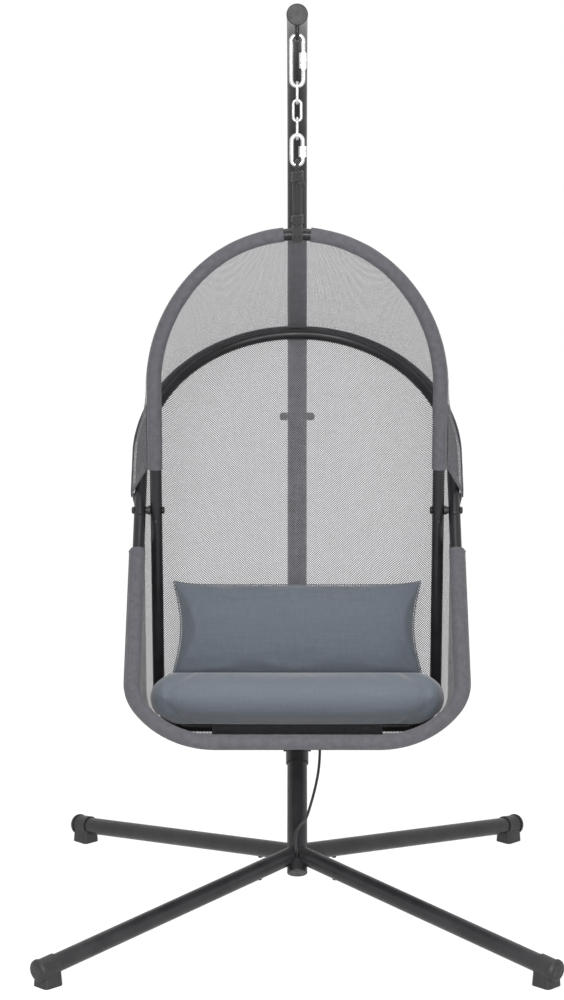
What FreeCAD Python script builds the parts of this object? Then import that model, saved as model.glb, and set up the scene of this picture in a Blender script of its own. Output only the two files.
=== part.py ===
"""Hanging egg chair on a C-shaped pole stand, in millimetres.

The origin is on the floor under the hub, +X is the sitter's left-right direction, -Y is the
front and +Z is up. The chair is two oval tube loops that cross at a pivot on each side. The
inner loop carries the hood in front and the rear seat bar. The outer loop carries the back
arch and the front seat bar. A mesh bag spans the four half loops.
"""
import FreeCAD, Part
import os
from math import cos, degrees, pi, radians, sin, sqrt, tan

V = FreeCAD.Vector
X_AXIS = V(1, 0, 0)
Y_AXIS = V(0, 1, 0)
Z_AXIS = V(0, 0, 1)

# Clearances
FIT = 0.3                    # radial play of a tube, bolt or ring in its seat
SOFT_GAP = 0.5               # space that soft pieces keep from their neighbours
NECK = 4.0                   # where a narrowed tube end meets the full tube
DOME_SHARE = 0.42            # a domed cap's rounding, of its width or twice its height

# Base: four legs in an X round the hub
LEG_DIA = 38.0
LEG_WALL = 1.5
LEG_HUB_HEIGHT = 124.0       # leg axes meet the pole axis here
LEG_FOOT_HEIGHT = 36.0       # leg axis at the foot
FOOT_REACH = 732.0           # floor distance from the hub axis to the end of a leg
STUB_REACH = 133.0           # where the welded stubs end
LEG_SPIGOT = 60.0            # narrowed leg end inside its stub
FOOT_SLEEVE_WALL = 2.6
FOOT_LENGTH = 42.0           # sleeve over the leg's end
FOOT_RIM = 2.2               # how far the closed end's rim stands out
FOOT_BLOCK_WIDTH = 44.0      # at the floor
FOOT_BLOCK_TAPER = 2.0       # each side, up to the sleeve
FOOT_BLOCK_CORNER = 9.0
FOOT_BLOCK_BACK = 6.0        # how far the block starts before the sleeve
FOOT_SOLE_EDGE = 1.5
FOOT_NOSE = 12.0             # rounded end of the sleeve
SCREW_HEAD_DIA = 11.0
SCREW_HEAD_HEIGHT = 3.0
SCREW_SHANK_DIA = 5.0
SCREW_INSET = 16.0           # from the stub's end
SCREW_DEPTH = 6.0            # screw past the tube's inner wall

# Pole: hub post, middle section and upper section with the boom
POLE_DIA = 44.0
POLE_WALL = 2.0
POST_LEAN = 37.0             # degrees back from upright
POST_TAIL = 44.0             # post below the leg axes
POST_SEAM = 209.0            # hub to the lower edge of the middle section
BELL_DEPTH = 70.0            # overlap of the middle section over the post
BELL_WALL = 2.8
BELL_SHOULDER = 8.0          # cone from the bell to the pole
POLE_BEND_RADIUS = 760.0
POLE_BACK = 458.0            # upright stretch behind the hub
POLE_SEAM_HEIGHT = 1051.0
POLE_SPIGOT = 60.0
POLE_BOLT_DROP = 30.0        # bolt below the seam
BOOM_OVER_HOOD = 452.3       # boom axis above the hood hoop's top
BOOM_BEND_RADIUS = 430.0
BOOM_TIP = 107.0             # in front of the hub axis
CAP_THICKNESS = 4.0
CAP_PLUG_DEPTH = 18.0
PLUG_ROOM_DIA = 47.0         # space below the post's end, clear of the leg stubs
PLUG_ROOM_DEPTH = 60.0
BOLT_DIA = 8.0
BOLT_CAP_DIA = 18.0
BOLT_CAP_REACH = 18.0
BOLT_HEAD_HEIGHT = 5.0
BOLT_HEAD_DIA = 13.0

# Suspension
HANGER_FRONT = 26.0          # hanger eye in front of the hub axis
EYE_WIRE = 9.0
EYE_RADIUS = 15.0
EYE_DROP = 28.5              # eye's lowest wire centre below the boom's underside
LINK_WIRE = 8.5
UPPER_LINK_HEIGHT = 104.0    # between wire centres
UPPER_LINK_WIDTH = 25.5
LOWER_LINK_HEIGHT = 61.5
LOWER_LINK_WIDTH = 23.5
LINK_SLOT = 12.0             # opening that the sleeve nut closes
UPPER_NUT_LENGTH = 32.0
LOWER_NUT_LENGTH = 22.0
NUT_FLATS = 15.0
NUT_CHAMFER = (0.6, 0.75, 1.9)   # cone's reach, small and large radius, in corner radii
CHAIN_WIRE = 5.5
CHAIN_HEIGHT = 42.5
CHAIN_WIDTH = 16.5
CHAIN_LINKS = 3
ROPE_DIA = 8.0
ROPE_STRANDS = (-6.6, 0.0, 6.6)  # sideways places of the three turns, pressed together
ROPE_KNOT_DIA = 26.5
ROPE_KNOT_DROP = 10.0        # knot's centre past the turn's centreline

# Chair loops, measured in each loop's own plane from the pivots
TUBE_DIA = 25.4
TUBE_WALL = 1.5
PIVOT_BACK = 38.0            # pivot axis behind the hub axis
PIVOT_HEIGHT = 876.0
INNER_LEAN = 6.0             # degrees, top to the front
OUTER_LEAN = 45.0            # degrees, top to the back
OUTER_HALF_WIDTH = 338.0
LOOP_SPACING = 35.0          # from the outer loop's sides to the inner loop's
HOOD_RISE = 600.0
HOOD_ARCH_RISE = 325.0
HOOD_SIDE_RADIUS = 343.0
REAR_DROP = 493.0
REAR_CORNER_RADIUS = 70.0
ARCH_RISE = 486.0
FRONT_DROP = 575.0
FRONT_CORNER_WIDTH = 172.0
FRONT_CORNER_RISE = 138.0
FRONT_SIDE_RADIUS = 100.0
INNER_SEAM_DROP = 30.0
OUTER_SEAM_DROP = 25.0
TUBE_SPIGOT = 18.0
BUTTON_DIA = 7.0
BUTTON_PROUD = 2.0
PIVOT_BOLT_DIA = 8.0
PIVOT_WASHER_DIA = 20.0
PIVOT_CAP_DIA = 16.0
PIVOT_CAP_HEIGHT = 5.0

# Mesh bag
FABRIC = 2.5
SLEEVE_WALL = 1.8
BAG_SIDE_GAP = 10.0          # the bag's sides pass the rear loop's sides
HOOD_HEM_ON_HOOP = 92.0      # above the pivot
HEM_ON_ARCH = 45.0
HEM_ON_REAR = 75.0           # below the pivot
HEM_ON_FRONT = 105.0
HOOP_SIDE_SHARE = 1.12       # the bag's distance from each tube's sides, in sleeve radii
ARCH_SIDE_SHARE = 1.35
FRONT_SIDE_SHARE = 1.2
ROPE_NOTCH_HALF = 26.0       # gap in the hood's sleeve and panel for the rope
REAR_SLEEVE_HALF = 190.0
PANEL_POINTS = 33            # samples along each half loop
SETTLE_STEPS = 3             # moves that lower a soft piece to its seat
SETTLE_START = 6.0           # height from which the pillow is lowered

# Cushions
SEAT_OVERHANG = 13.0         # past the inner loop's side axes, each side
SEAT_DEPTH = 372.0
SEAT_THICKNESS = 100.0
SEAT_CORNER = 80.0
SEAT_EDGE = 34.0
SEAT_TILT = 14.0             # degrees up to the front
SEAT_REAR_BACK = 64.0        # lower rear edge behind the hub axis
SEAT_REAR_HEIGHT = 411.0     # before it settles
PILLOW_WIDTH = 545.0
PILLOW_HEIGHT = 206.0
PILLOW_THICKNESS = 96.0
PILLOW_EDGE = 40.0
PILLOW_FORWARD = 24.0        # the panel curves round its ends

# Tether cord
CORD_DIA = 6.0
CORD_SIDE = 50.0             # where it leaves the bag under the rear bar
CORD_START = 1.0             # the cord's end below the knot's flat
CORD_FROM_KNOT = ((0, -8, -39), (-4, -22, -74), (-12, -42, -106))
CORD_FROM_EYE = ((28, 68, 74), (19, 39, 54), (8, 18, 50), (-4, -6, 37), (-4, -9, 13), (0, 0, 0))
KNOT_DIA = 15.0
KNOT_FLAT = 0.48             # flat underside below the knot's centre, in diameters
KNOT_LEAN = 0.3              # share of the bag corner's slope that the knot follows
ROUTE_TRIM = 0.45            # share of a run that an arc takes at each end
ANCHOR_WIRE = 4.0
ANCHOR_RADIUS = 8.0
ANCHOR_DROP = 14.0            # below the leg axes, along the post

# Values that follow
PIVOT = V(0, PIVOT_BACK, PIVOT_HEIGHT)
INNER_HALF_WIDTH = OUTER_HALF_WIDTH - LOOP_SPACING
SEAT_WIDTH = 2 * (INNER_HALF_WIDTH + SEAT_OVERHANG)
BOOM_HEIGHT = PIVOT_HEIGHT + HOOD_RISE * cos(radians(INNER_LEAN)) + BOOM_OVER_HOOD
HUB = V(0, 0, LEG_HUB_HEIGHT)
POST_DIR = V(0, sin(radians(POST_LEAN)), cos(radians(POST_LEAN)))
POST_FRONT = V(0, -cos(radians(POST_LEAN)), sin(radians(POST_LEAN)))
POLE_BORE = POLE_DIA - 2 * POLE_WALL
LEG_BORE = LEG_DIA - 2 * LEG_WALL
TUBE_BORE = TUBE_DIA - 2 * TUBE_WALL
SLEEVE_BORE = TUBE_DIA + 2 * SOFT_GAP
SLEEVE_DIA = SLEEVE_BORE + 2 * SLEEVE_WALL
EYE_HEIGHT = BOOM_HEIGHT - POLE_DIA / 2 - EYE_DROP
UPPER_LINK_TOP = EYE_HEIGHT + (EYE_WIRE + LINK_WIRE) / 2 + FIT
UPPER_LINK_BOTTOM = UPPER_LINK_TOP - UPPER_LINK_HEIGHT
CHAIN_TOP = UPPER_LINK_BOTTOM + (LINK_WIRE + CHAIN_WIRE) / 2 + FIT
CHAIN_PITCH = CHAIN_HEIGHT - CHAIN_WIRE - FIT
CHAIN_BOTTOM = CHAIN_TOP - (CHAIN_LINKS - 1) * CHAIN_PITCH - CHAIN_HEIGHT
LOWER_LINK_TOP = CHAIN_BOTTOM + (LINK_WIRE + CHAIN_WIRE) / 2 + FIT
LOWER_LINK_BOTTOM = LOWER_LINK_TOP - LOWER_LINK_HEIGHT


# Basic shapes ------------------------------------------------------------------------------

def rod(start, end, dia):
    """A round bar between two points."""
    return Part.makeCylinder(dia / 2, (end - start).Length, start, end - start)


def pipe(start, end, outer_dia, bore):
    """A straight tube, open at both ends."""
    margin = (end - start).normalize()
    return rod(start, end, outer_dia).cut(rod(start - margin, end + margin, bore))


def sweep(edges, dia):
    """A round bar along a path of lines and tangent arcs."""
    path = Part.Wire(edges)
    first = edges[0]
    start = first.valueAt(first.FirstParameter)
    tangent = first.tangentAt(first.FirstParameter)
    section = Part.Wire(Part.Circle(start, tangent, dia / 2).toShape())
    return path.makePipeShell([section], True, False)


def swept_tube(edges, outer_dia, bore):
    """A bent tube, open at both ends."""
    return sweep(edges, outer_dia).cut(sweep(edges, bore))


def line(start, end):
    return Part.LineSegment(start, end).toShape()


def arc_about(centre, start, end):
    """The shorter arc between two points round a centre."""
    radius = (start - centre).Length
    middle = (start - centre) + (end - centre)
    middle.normalize()
    return Part.Arc(start, centre + middle * radius, end).toShape()


def ring(centre, axis, radius, wire):
    return Part.makeTorus(radius, wire / 2, centre, axis)


def dome(base, direction, dia, height):
    """A low domed cap: a cylinder whose far rim is rounded."""
    body = Part.makeCylinder(dia / 2, height, base, direction)
    rims = [e for e in body.Edges if e.Closed and (e.CenterOfMass - base).Length > height / 2]
    return body.makeFillet(min(dia, 2 * height) * DOME_SHARE, rims)


def turned(shape, angle):
    """A copy turned about the hub's upright axis."""
    copy = shape.copy()
    copy.rotate(V(0, 0, 0), Z_AXIS, angle)
    return copy


# Stand -------------------------------------------------------------------------------------

def leg_point(reach):
    """A point on the axis of a leg that runs along +X."""
    fall = (LEG_HUB_HEIGHT - LEG_FOOT_HEIGHT) * reach / FOOT_REACH
    return V(reach, 0, LEG_HUB_HEIGHT - fall)


def leg_direction():
    return (leg_point(FOOT_REACH) - leg_point(0)).normalize()


def post_point(distance):
    """A point on the axis of the leaning post, from the hub up."""
    return HUB + POST_DIR * distance


def across(centre, half_length, dia):
    """A round bar along X through a point."""
    return rod(centre - X_AXIS * half_length, centre + X_AXIS * half_length, dia)


def make_leg():
    seam = leg_point(STUB_REACH)
    neck = seam + leg_direction() * NECK
    spigot_dia = LEG_BORE - 2 * FIT
    spigot_bore = spigot_dia - 2 * LEG_WALL
    tail = seam - leg_direction() * LEG_SPIGOT
    end = leg_point(FOOT_REACH)
    body = rod(tail, neck, spigot_dia).fuse(rod(seam, end, LEG_DIA))
    body = body.cut(rod(tail - leg_direction(), neck + leg_direction(), spigot_bore))
    return body.cut(rod(neck, end + leg_direction(), LEG_BORE)).cut(leg_screw_hole())


def leg_screw_axis():
    """The point on the leg axis under the screw and the screw's upward direction."""
    point = leg_point(STUB_REACH - SCREW_INSET)
    return point, leg_direction().cross(Y_AXIS * -1)


def leg_screw_hole():
    point, up = leg_screw_axis()
    return rod(point, point + up * LEG_DIA, SCREW_SHANK_DIA + 2 * FIT)


def make_leg_screw():
    point, up = leg_screw_axis()
    seat = point + up * (LEG_DIA / 2 + FIT)
    shank = rod(point + up * (LEG_BORE / 2 - SCREW_DEPTH), seat + up, SCREW_SHANK_DIA)
    head = dome(seat, up, SCREW_HEAD_DIA, SCREW_HEAD_HEIGHT)
    return shank.fuse(head).removeSplitter()


def make_foot():
    """A plastic end cap: a sleeve with a closed, rimmed end, on a block down to the floor."""
    end = leg_point(FOOT_REACH)
    along = leg_direction()
    back = end - along * FOOT_LENGTH
    rim_dia = foot_sleeve_dia() + 2 * FOOT_RIM
    nose = dome(end - along * CAP_THICKNESS, along, rim_dia, FOOT_NOSE)
    body = rod(back, end, foot_sleeve_dia()).fuse(nose).fuse(foot_block(back, end))
    entry = back - along * (2 * FOOT_BLOCK_BACK)
    return body.cut(rod(entry, end + along * FIT, LEG_DIA + 2 * FIT)).removeSplitter()


def foot_sleeve_dia():
    return LEG_DIA + 2 * (FIT + FOOT_SLEEVE_WALL)


def foot_block(back, end):
    """The block under the sleeve, a little wider at the floor, with round corners."""
    top_half = FOOT_BLOCK_WIDTH / 2 - FOOT_BLOCK_TAPER
    sections = []
    for height, half in ((0, FOOT_BLOCK_WIDTH / 2), (end.z, top_half)):
        taper = FOOT_BLOCK_WIDTH / 2 - half
        rear, front = back.x - FOOT_BLOCK_BACK + taper, end.x - taper
        corners = [V(rear, -half, height), V(front, -half, height),
                   V(front, half, height), V(rear, half, height)]
        sections.append(Part.makePolygon(corners + corners[:1]))
    block = Part.makeLoft(sections, True, True)
    uprights = [e for e in block.Edges if abs(e.tangentAt(e.FirstParameter).z) > 0.9]
    block = block.makeFillet(FOOT_BLOCK_CORNER, uprights)
    soles = [e for e in block.Edges if e.BoundBox.ZMax < 0.01]
    return block.makeFillet(FOOT_SOLE_EDGE, soles)


def make_hub_post():
    """The leaning post with the four leg stubs welded to it."""
    tail = post_point(-POST_TAIL)
    top = post_point(POST_SEAM + BELL_DEPTH - FIT)
    body = rod(tail, top, POLE_DIA)
    stub = rod(leg_point(0), leg_point(STUB_REACH), LEG_DIA)
    hollow = rod(leg_point(POLE_DIA), leg_point(STUB_REACH + 1), LEG_BORE)
    hollow = hollow.fuse(leg_screw_hole())
    for quarter in range(4):
        body = body.fuse(turned(stub, 45 + 90 * quarter))
    for quarter in range(4):
        body = body.cut(turned(hollow, 45 + 90 * quarter))
    plug_room = rod(tail - POST_DIR * PLUG_ROOM_DEPTH, tail, PLUG_ROOM_DIA)
    body = body.cut(rod(tail - POST_DIR, top + POST_DIR, POLE_BORE)).cut(plug_room)
    body = body.cut(across(lower_bolt_point(), POLE_DIA, BOLT_DIA + 2 * FIT))
    return body.cut(anchor_shank(SCREW_SHANK_DIA + 2 * FIT)).removeSplitter()


def make_plug(rim, inward, bore):
    """A flat end cap with a short plug that fits the tube's bore."""
    flange = rod(rim - inward * CAP_THICKNESS, rim, POLE_DIA)
    edges = [e for e in flange.Edges if e.Closed and (e.CenterOfMass - rim).Length > 1]
    flange = flange.makeFillet(CAP_THICKNESS * 0.6, edges)
    return flange.fuse(rod(rim, rim + inward * CAP_PLUG_DEPTH, bore - 2 * FIT))


def lower_bolt_point():
    return post_point(POST_SEAM + BELL_DEPTH / 2)


def pole_bend_start():
    """Distance along the post axis at which the bend to upright starts."""
    bend_run = POLE_BEND_RADIUS * (1 - cos(radians(POST_LEAN)))
    return (POLE_BACK - bend_run) / sin(radians(POST_LEAN))


def middle_path():
    """From inside the bell along the lean, round the bend and up to the seam."""
    start = post_point(POST_SEAM + BELL_DEPTH)
    bend = post_point(pole_bend_start())
    rise = POLE_BEND_RADIUS * sin(radians(POST_LEAN))
    upright = V(0, POLE_BACK, bend.z + rise)
    centre = upright - Y_AXIS * POLE_BEND_RADIUS
    seam = V(0, POLE_BACK, POLE_SEAM_HEIGHT)
    return [line(start, bend), arc_about(centre, bend, upright), line(upright, seam)]


def make_middle_section():
    path = middle_path()
    seam = post_point(POST_SEAM)
    shoulder = post_point(POST_SEAM + BELL_DEPTH)
    bell_bore = POLE_DIA + 2 * FIT
    bell_dia = bell_bore + 2 * BELL_WALL
    shoulder_end = shoulder + POST_DIR * BELL_SHOULDER
    cone = Part.makeCone(bell_dia / 2, POLE_DIA / 2, BELL_SHOULDER, shoulder, POST_DIR)
    body = sweep(path, POLE_DIA).fuse(rod(seam, shoulder, bell_dia)).fuse(cone)
    body = body.cut(rod(seam - POST_DIR, shoulder, bell_bore))
    body = body.cut(rod(shoulder, shoulder_end, POLE_BORE)).cut(sweep(path, POLE_BORE))
    body = body.cut(across(lower_bolt_point(), POLE_DIA, BOLT_DIA + 2 * FIT))
    return body.cut(across(joint_bolt_point(), POLE_DIA, BOLT_DIA + 2 * FIT)).removeSplitter()


def joint_bolt_point():
    return V(0, POLE_BACK, POLE_SEAM_HEIGHT - POLE_BOLT_DROP)


def make_upper_section():
    """The upright, the bend and the boom, with a narrowed end that enters the middle section."""
    seam = V(0, POLE_BACK, POLE_SEAM_HEIGHT)
    upright = V(0, POLE_BACK, BOOM_HEIGHT - BOOM_BEND_RADIUS)
    level = V(0, POLE_BACK - BOOM_BEND_RADIUS, BOOM_HEIGHT)
    centre = upright - Y_AXIS * BOOM_BEND_RADIUS
    path = [
        line(seam, upright),
        arc_about(centre, upright, level),
        line(level, V(0, -BOOM_TIP, BOOM_HEIGHT)),
    ]
    tail = seam - Z_AXIS * POLE_SPIGOT
    spigot_dia = POLE_BORE - 2 * FIT
    neck = seam + Z_AXIS * NECK
    body = sweep(path, POLE_DIA).cut(sweep(path, POLE_BORE))
    collar = pipe(seam, neck, POLE_DIA, spigot_dia - 2 * POLE_WALL)
    body = body.fuse(collar).fuse(pipe(tail, neck, spigot_dia, spigot_dia - 2 * POLE_WALL))
    return body.cut(across(joint_bolt_point(), POLE_DIA, BOLT_DIA + 2 * FIT)).removeSplitter()


def make_through_bolt(centre, tube_dia, head_height):
    """A bolt along X with a round head and a nut against a tube's sides."""
    seat = tube_dia / 2 + FIT
    body = across(centre, seat + head_height, BOLT_DIA)
    for side in (-1, 1):
        start = centre + X_AXIS * (side * seat)
        body = body.fuse(rod(start, start + X_AXIS * (side * head_height), BOLT_HEAD_DIA))
    return body.removeSplitter()


def make_bolt_caps():
    """Two domed plastic covers over the ends of the pole's joint bolt."""
    caps = []
    head_room = BOLT_HEAD_HEIGHT + 2 * FIT
    for side in (-1, 1):
        seat = joint_bolt_point() + X_AXIS * (side * (POLE_DIA / 2 + FIT))
        outward = X_AXIS * side
        cap = dome(seat, outward, BOLT_CAP_DIA, BOLT_CAP_REACH)
        caps.append(cap.cut(rod(seat - outward, seat + outward * head_room, BOLT_HEAD_DIA + 2 * FIT)))
    return Part.makeCompound(caps)


def make_boom_eye():
    """A bent wire loop welded under the boom, in the plane of the pole."""
    bottom = V(0, -HANGER_FRONT, EYE_HEIGHT)
    centre = bottom + Z_AXIS * EYE_RADIUS
    top = BOOM_HEIGHT - sqrt((POLE_DIA / 2) ** 2 - (EYE_WIRE / 2) ** 2)
    half = Y_AXIS * EYE_RADIUS
    front, rear = centre - half, centre + half
    path = [
        line(V(0, front.y, top), front),
        arc_about(centre, front, bottom),
        arc_about(centre, bottom, rear),
        line(rear, V(0, rear.y, top)),
    ]
    boom = rod(V(0, -BOOM_TIP, BOOM_HEIGHT), V(0, POLE_BACK, BOOM_HEIGHT), POLE_DIA)
    return sweep(path, EYE_WIRE).cut(boom)


def anchor_base():
    return post_point(-ANCHOR_DROP) + POST_FRONT * (POLE_DIA / 2)


def anchor_centre():
    return anchor_base() + POST_FRONT * (ANCHOR_RADIUS + ANCHOR_WIRE)


def anchor_shank(dia):
    base = anchor_base()
    return rod(base - POST_FRONT * (POLE_WALL + SCREW_DEPTH), base + POST_FRONT * ANCHOR_WIRE, dia)


def make_tether_anchor():
    """A screw eye in the front of the post."""
    eye = ring(anchor_centre(), X_AXIS, ANCHOR_RADIUS, ANCHOR_WIRE)
    return eye.fuse(anchor_shank(SCREW_SHANK_DIA))


# Suspension --------------------------------------------------------------------------------

def link_path(top, height, width, side):
    """The centreline of a straight-sided link; side is +X for a face-on link, +Y for edge-on."""
    radius = width / 2
    upper = V(0, -HANGER_FRONT, top - radius)
    lower = V(0, -HANGER_FRONT, top - height + radius)
    left, right = side * -radius, side * radius
    middle = (upper + lower) * 0.5
    return [
        line(middle + left, upper + left),
        arc_about(upper, upper + left, upper + Z_AXIS * radius),
        arc_about(upper, upper + Z_AXIS * radius, upper + right),
        line(upper + right, lower + right),
        arc_about(lower, lower + right, lower - Z_AXIS * radius),
        arc_about(lower, lower - Z_AXIS * radius, lower + left),
        line(lower + left, middle + left),
    ]


def nut_middle(top, height, width, share):
    """The middle of a quick link's nut, on its right-hand side."""
    return V(width / 2, -HANGER_FRONT, top - height * share)


def make_quick_link(top, height, width, share):
    body = sweep(link_path(top, height, width, X_AXIS), LINK_WIRE)
    middle = nut_middle(top, height, width, share)
    half = Z_AXIS * (LINK_SLOT / 2)
    return body.cut(rod(middle - half, middle + half, LINK_WIRE * 1.4))


def make_link_nut(middle, length):
    """A long six-sided sleeve nut with chamfered ends."""
    corner = NUT_FLATS / 2 / cos(radians(30))
    half = Z_AXIS * (length / 2)
    points = [V(corner * cos(radians(60 * i)), corner * sin(radians(60 * i)), 0) for i in range(7)]
    prism = Part.Face(Part.makePolygon(points)).extrude(Z_AXIS * length)
    prism.translate(middle - half)
    reach, small, large = (share * corner for share in NUT_CHAMFER)
    for sign in (-1, 1):
        cone = Part.makeCone(large, small, length / 2 + reach, middle, Z_AXIS * sign)
        rest = Part.makeCylinder(large, length, middle, Z_AXIS * -sign)
        prism = prism.common(cone.fuse(rest))
    return prism.cut(rod(middle - half - Z_AXIS, middle + half + Z_AXIS, LINK_WIRE + 2 * FIT))


def make_chain_link(number):
    side = Y_AXIS if number % 2 == 0 else X_AXIS
    top = CHAIN_TOP - number * CHAIN_PITCH
    return sweep(link_path(top, CHAIN_HEIGHT, CHAIN_WIDTH, side), CHAIN_WIRE)


def make_hanging_rope():
    """Rope tied from the lower link round the top of the hood hoop."""
    link_bar = V(0, -HANGER_FRONT, LOWER_LINK_BOTTOM)
    hoop = loop_point(0, HOOD_RISE, INNER_LEAN)
    loop_radius = (LINK_WIRE + ROPE_DIA) / 2 + FIT
    wrap_radius = (TUBE_DIA + ROPE_DIA) / 2 + 2 * FIT
    upper_knot = link_bar - Z_AXIS * (loop_radius + ROPE_KNOT_DROP)
    lower_knot = hoop + (link_bar - hoop).normalize() * (wrap_radius + ROPE_KNOT_DROP)
    body = ring(link_bar, X_AXIS, loop_radius, ROPE_DIA)
    for side in ROPE_STRANDS:
        shift = X_AXIS * side
        body = body.fuse(rod(upper_knot + shift, lower_knot + shift, ROPE_DIA))
        body = body.fuse(ring(hoop + shift, X_AXIS, wrap_radius, ROPE_DIA))
    for centre in (upper_knot, lower_knot):
        body = body.fuse(Part.makeSphere(ROPE_KNOT_DIA / 2, centre))
    return body


# Chair loops -------------------------------------------------------------------------------

def loop_axes(lean):
    """Up in the loop's plane and the plane's normal to the back; lean is positive to the front."""
    up = V(0, -sin(radians(lean)), cos(radians(lean)))
    back = V(0, cos(radians(lean)), sin(radians(lean)))
    return up, back


def loop_point(side, height, lean, back_shift=0.0):
    """A point given across, up and behind a loop's plane, from the pivot axis."""
    up, back = loop_axes(lean)
    return PIVOT + X_AXIS * side + up * height + back * back_shift


def corner_arcs(width, rise, side_radius):
    """Centres, joint and radii of an oval corner from (0, 0) upright to (width, rise) level."""
    if width == rise == side_radius:
        crown_radius = side_radius
        reach = V(-1, 1, 0).normalize()
    else:
        crown_radius = (rise ** 2 + (width - side_radius) ** 2 - side_radius ** 2)
        crown_radius /= 2 * (rise - side_radius)
        reach = V(width - side_radius, rise - crown_radius, 0)
        if side_radius < crown_radius:
            reach = reach * -1
        reach.normalize()
    side_centre = V(side_radius, 0, 0)
    joint = side_centre + reach * side_radius
    return side_centre, joint, V(width, rise - crown_radius, 0)


def half_loop(half_width, start, apex, width, rise, side_radius, lean):
    """Path of a half loop from its left end over the apex to its right end.

    start and apex are heights in the loop's plane. An apex below the start makes a U.
    """
    sign = 1 if apex > start else -1
    spring = apex - sign * rise
    side_centre, joint, crown_centre = corner_arcs(width, rise, side_radius)

    def place(point, mirror):
        return loop_point(mirror * (half_width - point.x), spring + sign * point.y, lean)

    def side_edges(mirror):
        foot = place(V(0, 0, 0), mirror)
        crown = place(V(width, rise, 0), mirror)
        knee = place(joint, mirror)
        side = arc_about(place(side_centre, mirror), foot, knee)
        return [
            line(loop_point(mirror * half_width, start, lean), foot),
            side,
            arc_about(place(crown_centre, mirror), knee, crown),
        ]

    left = side_edges(-1)
    right = [reverse_edge(e) for e in reversed(side_edges(1))]
    flat = []
    if half_width - width > 1:
        flat = [line(place(V(width, rise, 0), -1), place(V(width, rise, 0), 1))]
    return left + flat + right


def reverse_edge(edge):
    """The same line or arc, run from its other end."""
    first, last = edge.FirstParameter, edge.LastParameter
    ends = edge.valueAt(last), edge.valueAt(first)
    if isinstance(edge.Curve, Part.Line):
        return line(*ends)
    return Part.Arc(ends[0], edge.valueAt((first + last) / 2), ends[1]).toShape()


def hood_path(start):
    return half_loop(INNER_HALF_WIDTH, start, HOOD_RISE, INNER_HALF_WIDTH, HOOD_ARCH_RISE,
                     HOOD_SIDE_RADIUS, INNER_LEAN)


def rear_path(start):
    corner = REAR_CORNER_RADIUS
    return half_loop(INNER_HALF_WIDTH, start, -REAR_DROP, corner, corner, corner, INNER_LEAN)


def arch_path(start):
    corner = OUTER_HALF_WIDTH
    return half_loop(OUTER_HALF_WIDTH, start, ARCH_RISE, corner, corner, corner, -OUTER_LEAN)


def front_path(start):
    return half_loop(OUTER_HALF_WIDTH, start, -FRONT_DROP, FRONT_CORNER_WIDTH,
                     FRONT_CORNER_RISE, FRONT_SIDE_RADIUS, -OUTER_LEAN)


def pivot_holes():
    return across(PIVOT, OUTER_HALF_WIDTH + TUBE_DIA, PIVOT_BOLT_DIA + 2 * FIT)


def button_rod(mirror, half_width, seam_drop, lean, dia, proud):
    """A spring button's stem, to the front through both tube walls."""
    height = -seam_drop + TUBE_SPIGOT / 2
    inner = loop_point(mirror * half_width, height, lean, -TUBE_BORE / 2 + 4)
    outer = loop_point(mirror * half_width, height, lean, -TUBE_DIA / 2 - proud)
    return rod(inner, outer, dia)


def upper_tube(path, half_width, seam_drop, lean):
    body = swept_tube(path, TUBE_DIA, TUBE_BORE).cut(pivot_holes())
    for mirror in (-1, 1):
        body = body.cut(button_rod(mirror, half_width, seam_drop, lean, BUTTON_DIA + 2 * FIT, 5))
    return body


def lower_tube(path, half_width, seam_drop, lean):
    """A seat U with narrowed ends that enter the upper tube."""
    body = swept_tube(path, TUBE_DIA, TUBE_BORE)
    spigot_dia = TUBE_BORE - 2 * FIT
    for mirror in (-1, 1):
        seam = loop_point(mirror * half_width, -seam_drop, lean)
        top = loop_point(mirror * half_width, -seam_drop + TUBE_SPIGOT, lean)
        neck = loop_point(mirror * half_width, -seam_drop - NECK, lean)
        body = body.fuse(pipe(neck, seam, TUBE_DIA, spigot_dia - 2 * TUBE_WALL))
        body = body.fuse(pipe(neck, top, spigot_dia, spigot_dia - 2 * TUBE_WALL))
        body = body.cut(button_rod(mirror, half_width, seam_drop, lean, BUTTON_DIA + 2 * FIT, 5))
    return body.removeSplitter()


def make_buttons(half_width, seam_drop, lean):
    sizes = half_width, seam_drop, lean, BUTTON_DIA, BUTTON_PROUD
    return Part.makeCompound([button_rod(mirror, *sizes) for mirror in (-1, 1)])


def pivot_spot(mirror, side):
    return PIVOT + X_AXIS * (mirror * side)


def make_pivot_bolts():
    """Bolts through the crossings, with a low domed head inside the inner tube."""
    bolts = []
    for mirror in (-1, 1):
        outward = X_AXIS * mirror
        head_seat = pivot_spot(mirror, INNER_HALF_WIDTH - TUBE_DIA / 2 - FIT)
        end = pivot_spot(mirror, OUTER_HALF_WIDTH + TUBE_DIA / 2 + FIT + PIVOT_CAP_HEIGHT / 2)
        head = dome(head_seat, outward * -1, PIVOT_CAP_DIA, PIVOT_CAP_HEIGHT)
        bolts.append(rod(head_seat - outward, end, PIVOT_BOLT_DIA).fuse(head).removeSplitter())
    return Part.makeCompound(bolts)


def make_pivot_spacers():
    """Flanged washers that hold the two tubes apart."""
    spacers = []
    for mirror in (-1, 1):
        start = pivot_spot(mirror, INNER_HALF_WIDTH + TUBE_DIA / 2 + FIT)
        end = pivot_spot(mirror, OUTER_HALF_WIDTH - TUBE_DIA / 2 - FIT)
        middle = (start + end) * 0.5
        flange = rod(start, middle, PIVOT_WASHER_DIA).fuse(rod(middle, end, PIVOT_CAP_DIA))
        spacers.append(flange.cut(pivot_holes()).removeSplitter())
    return Part.makeCompound(spacers)


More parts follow.
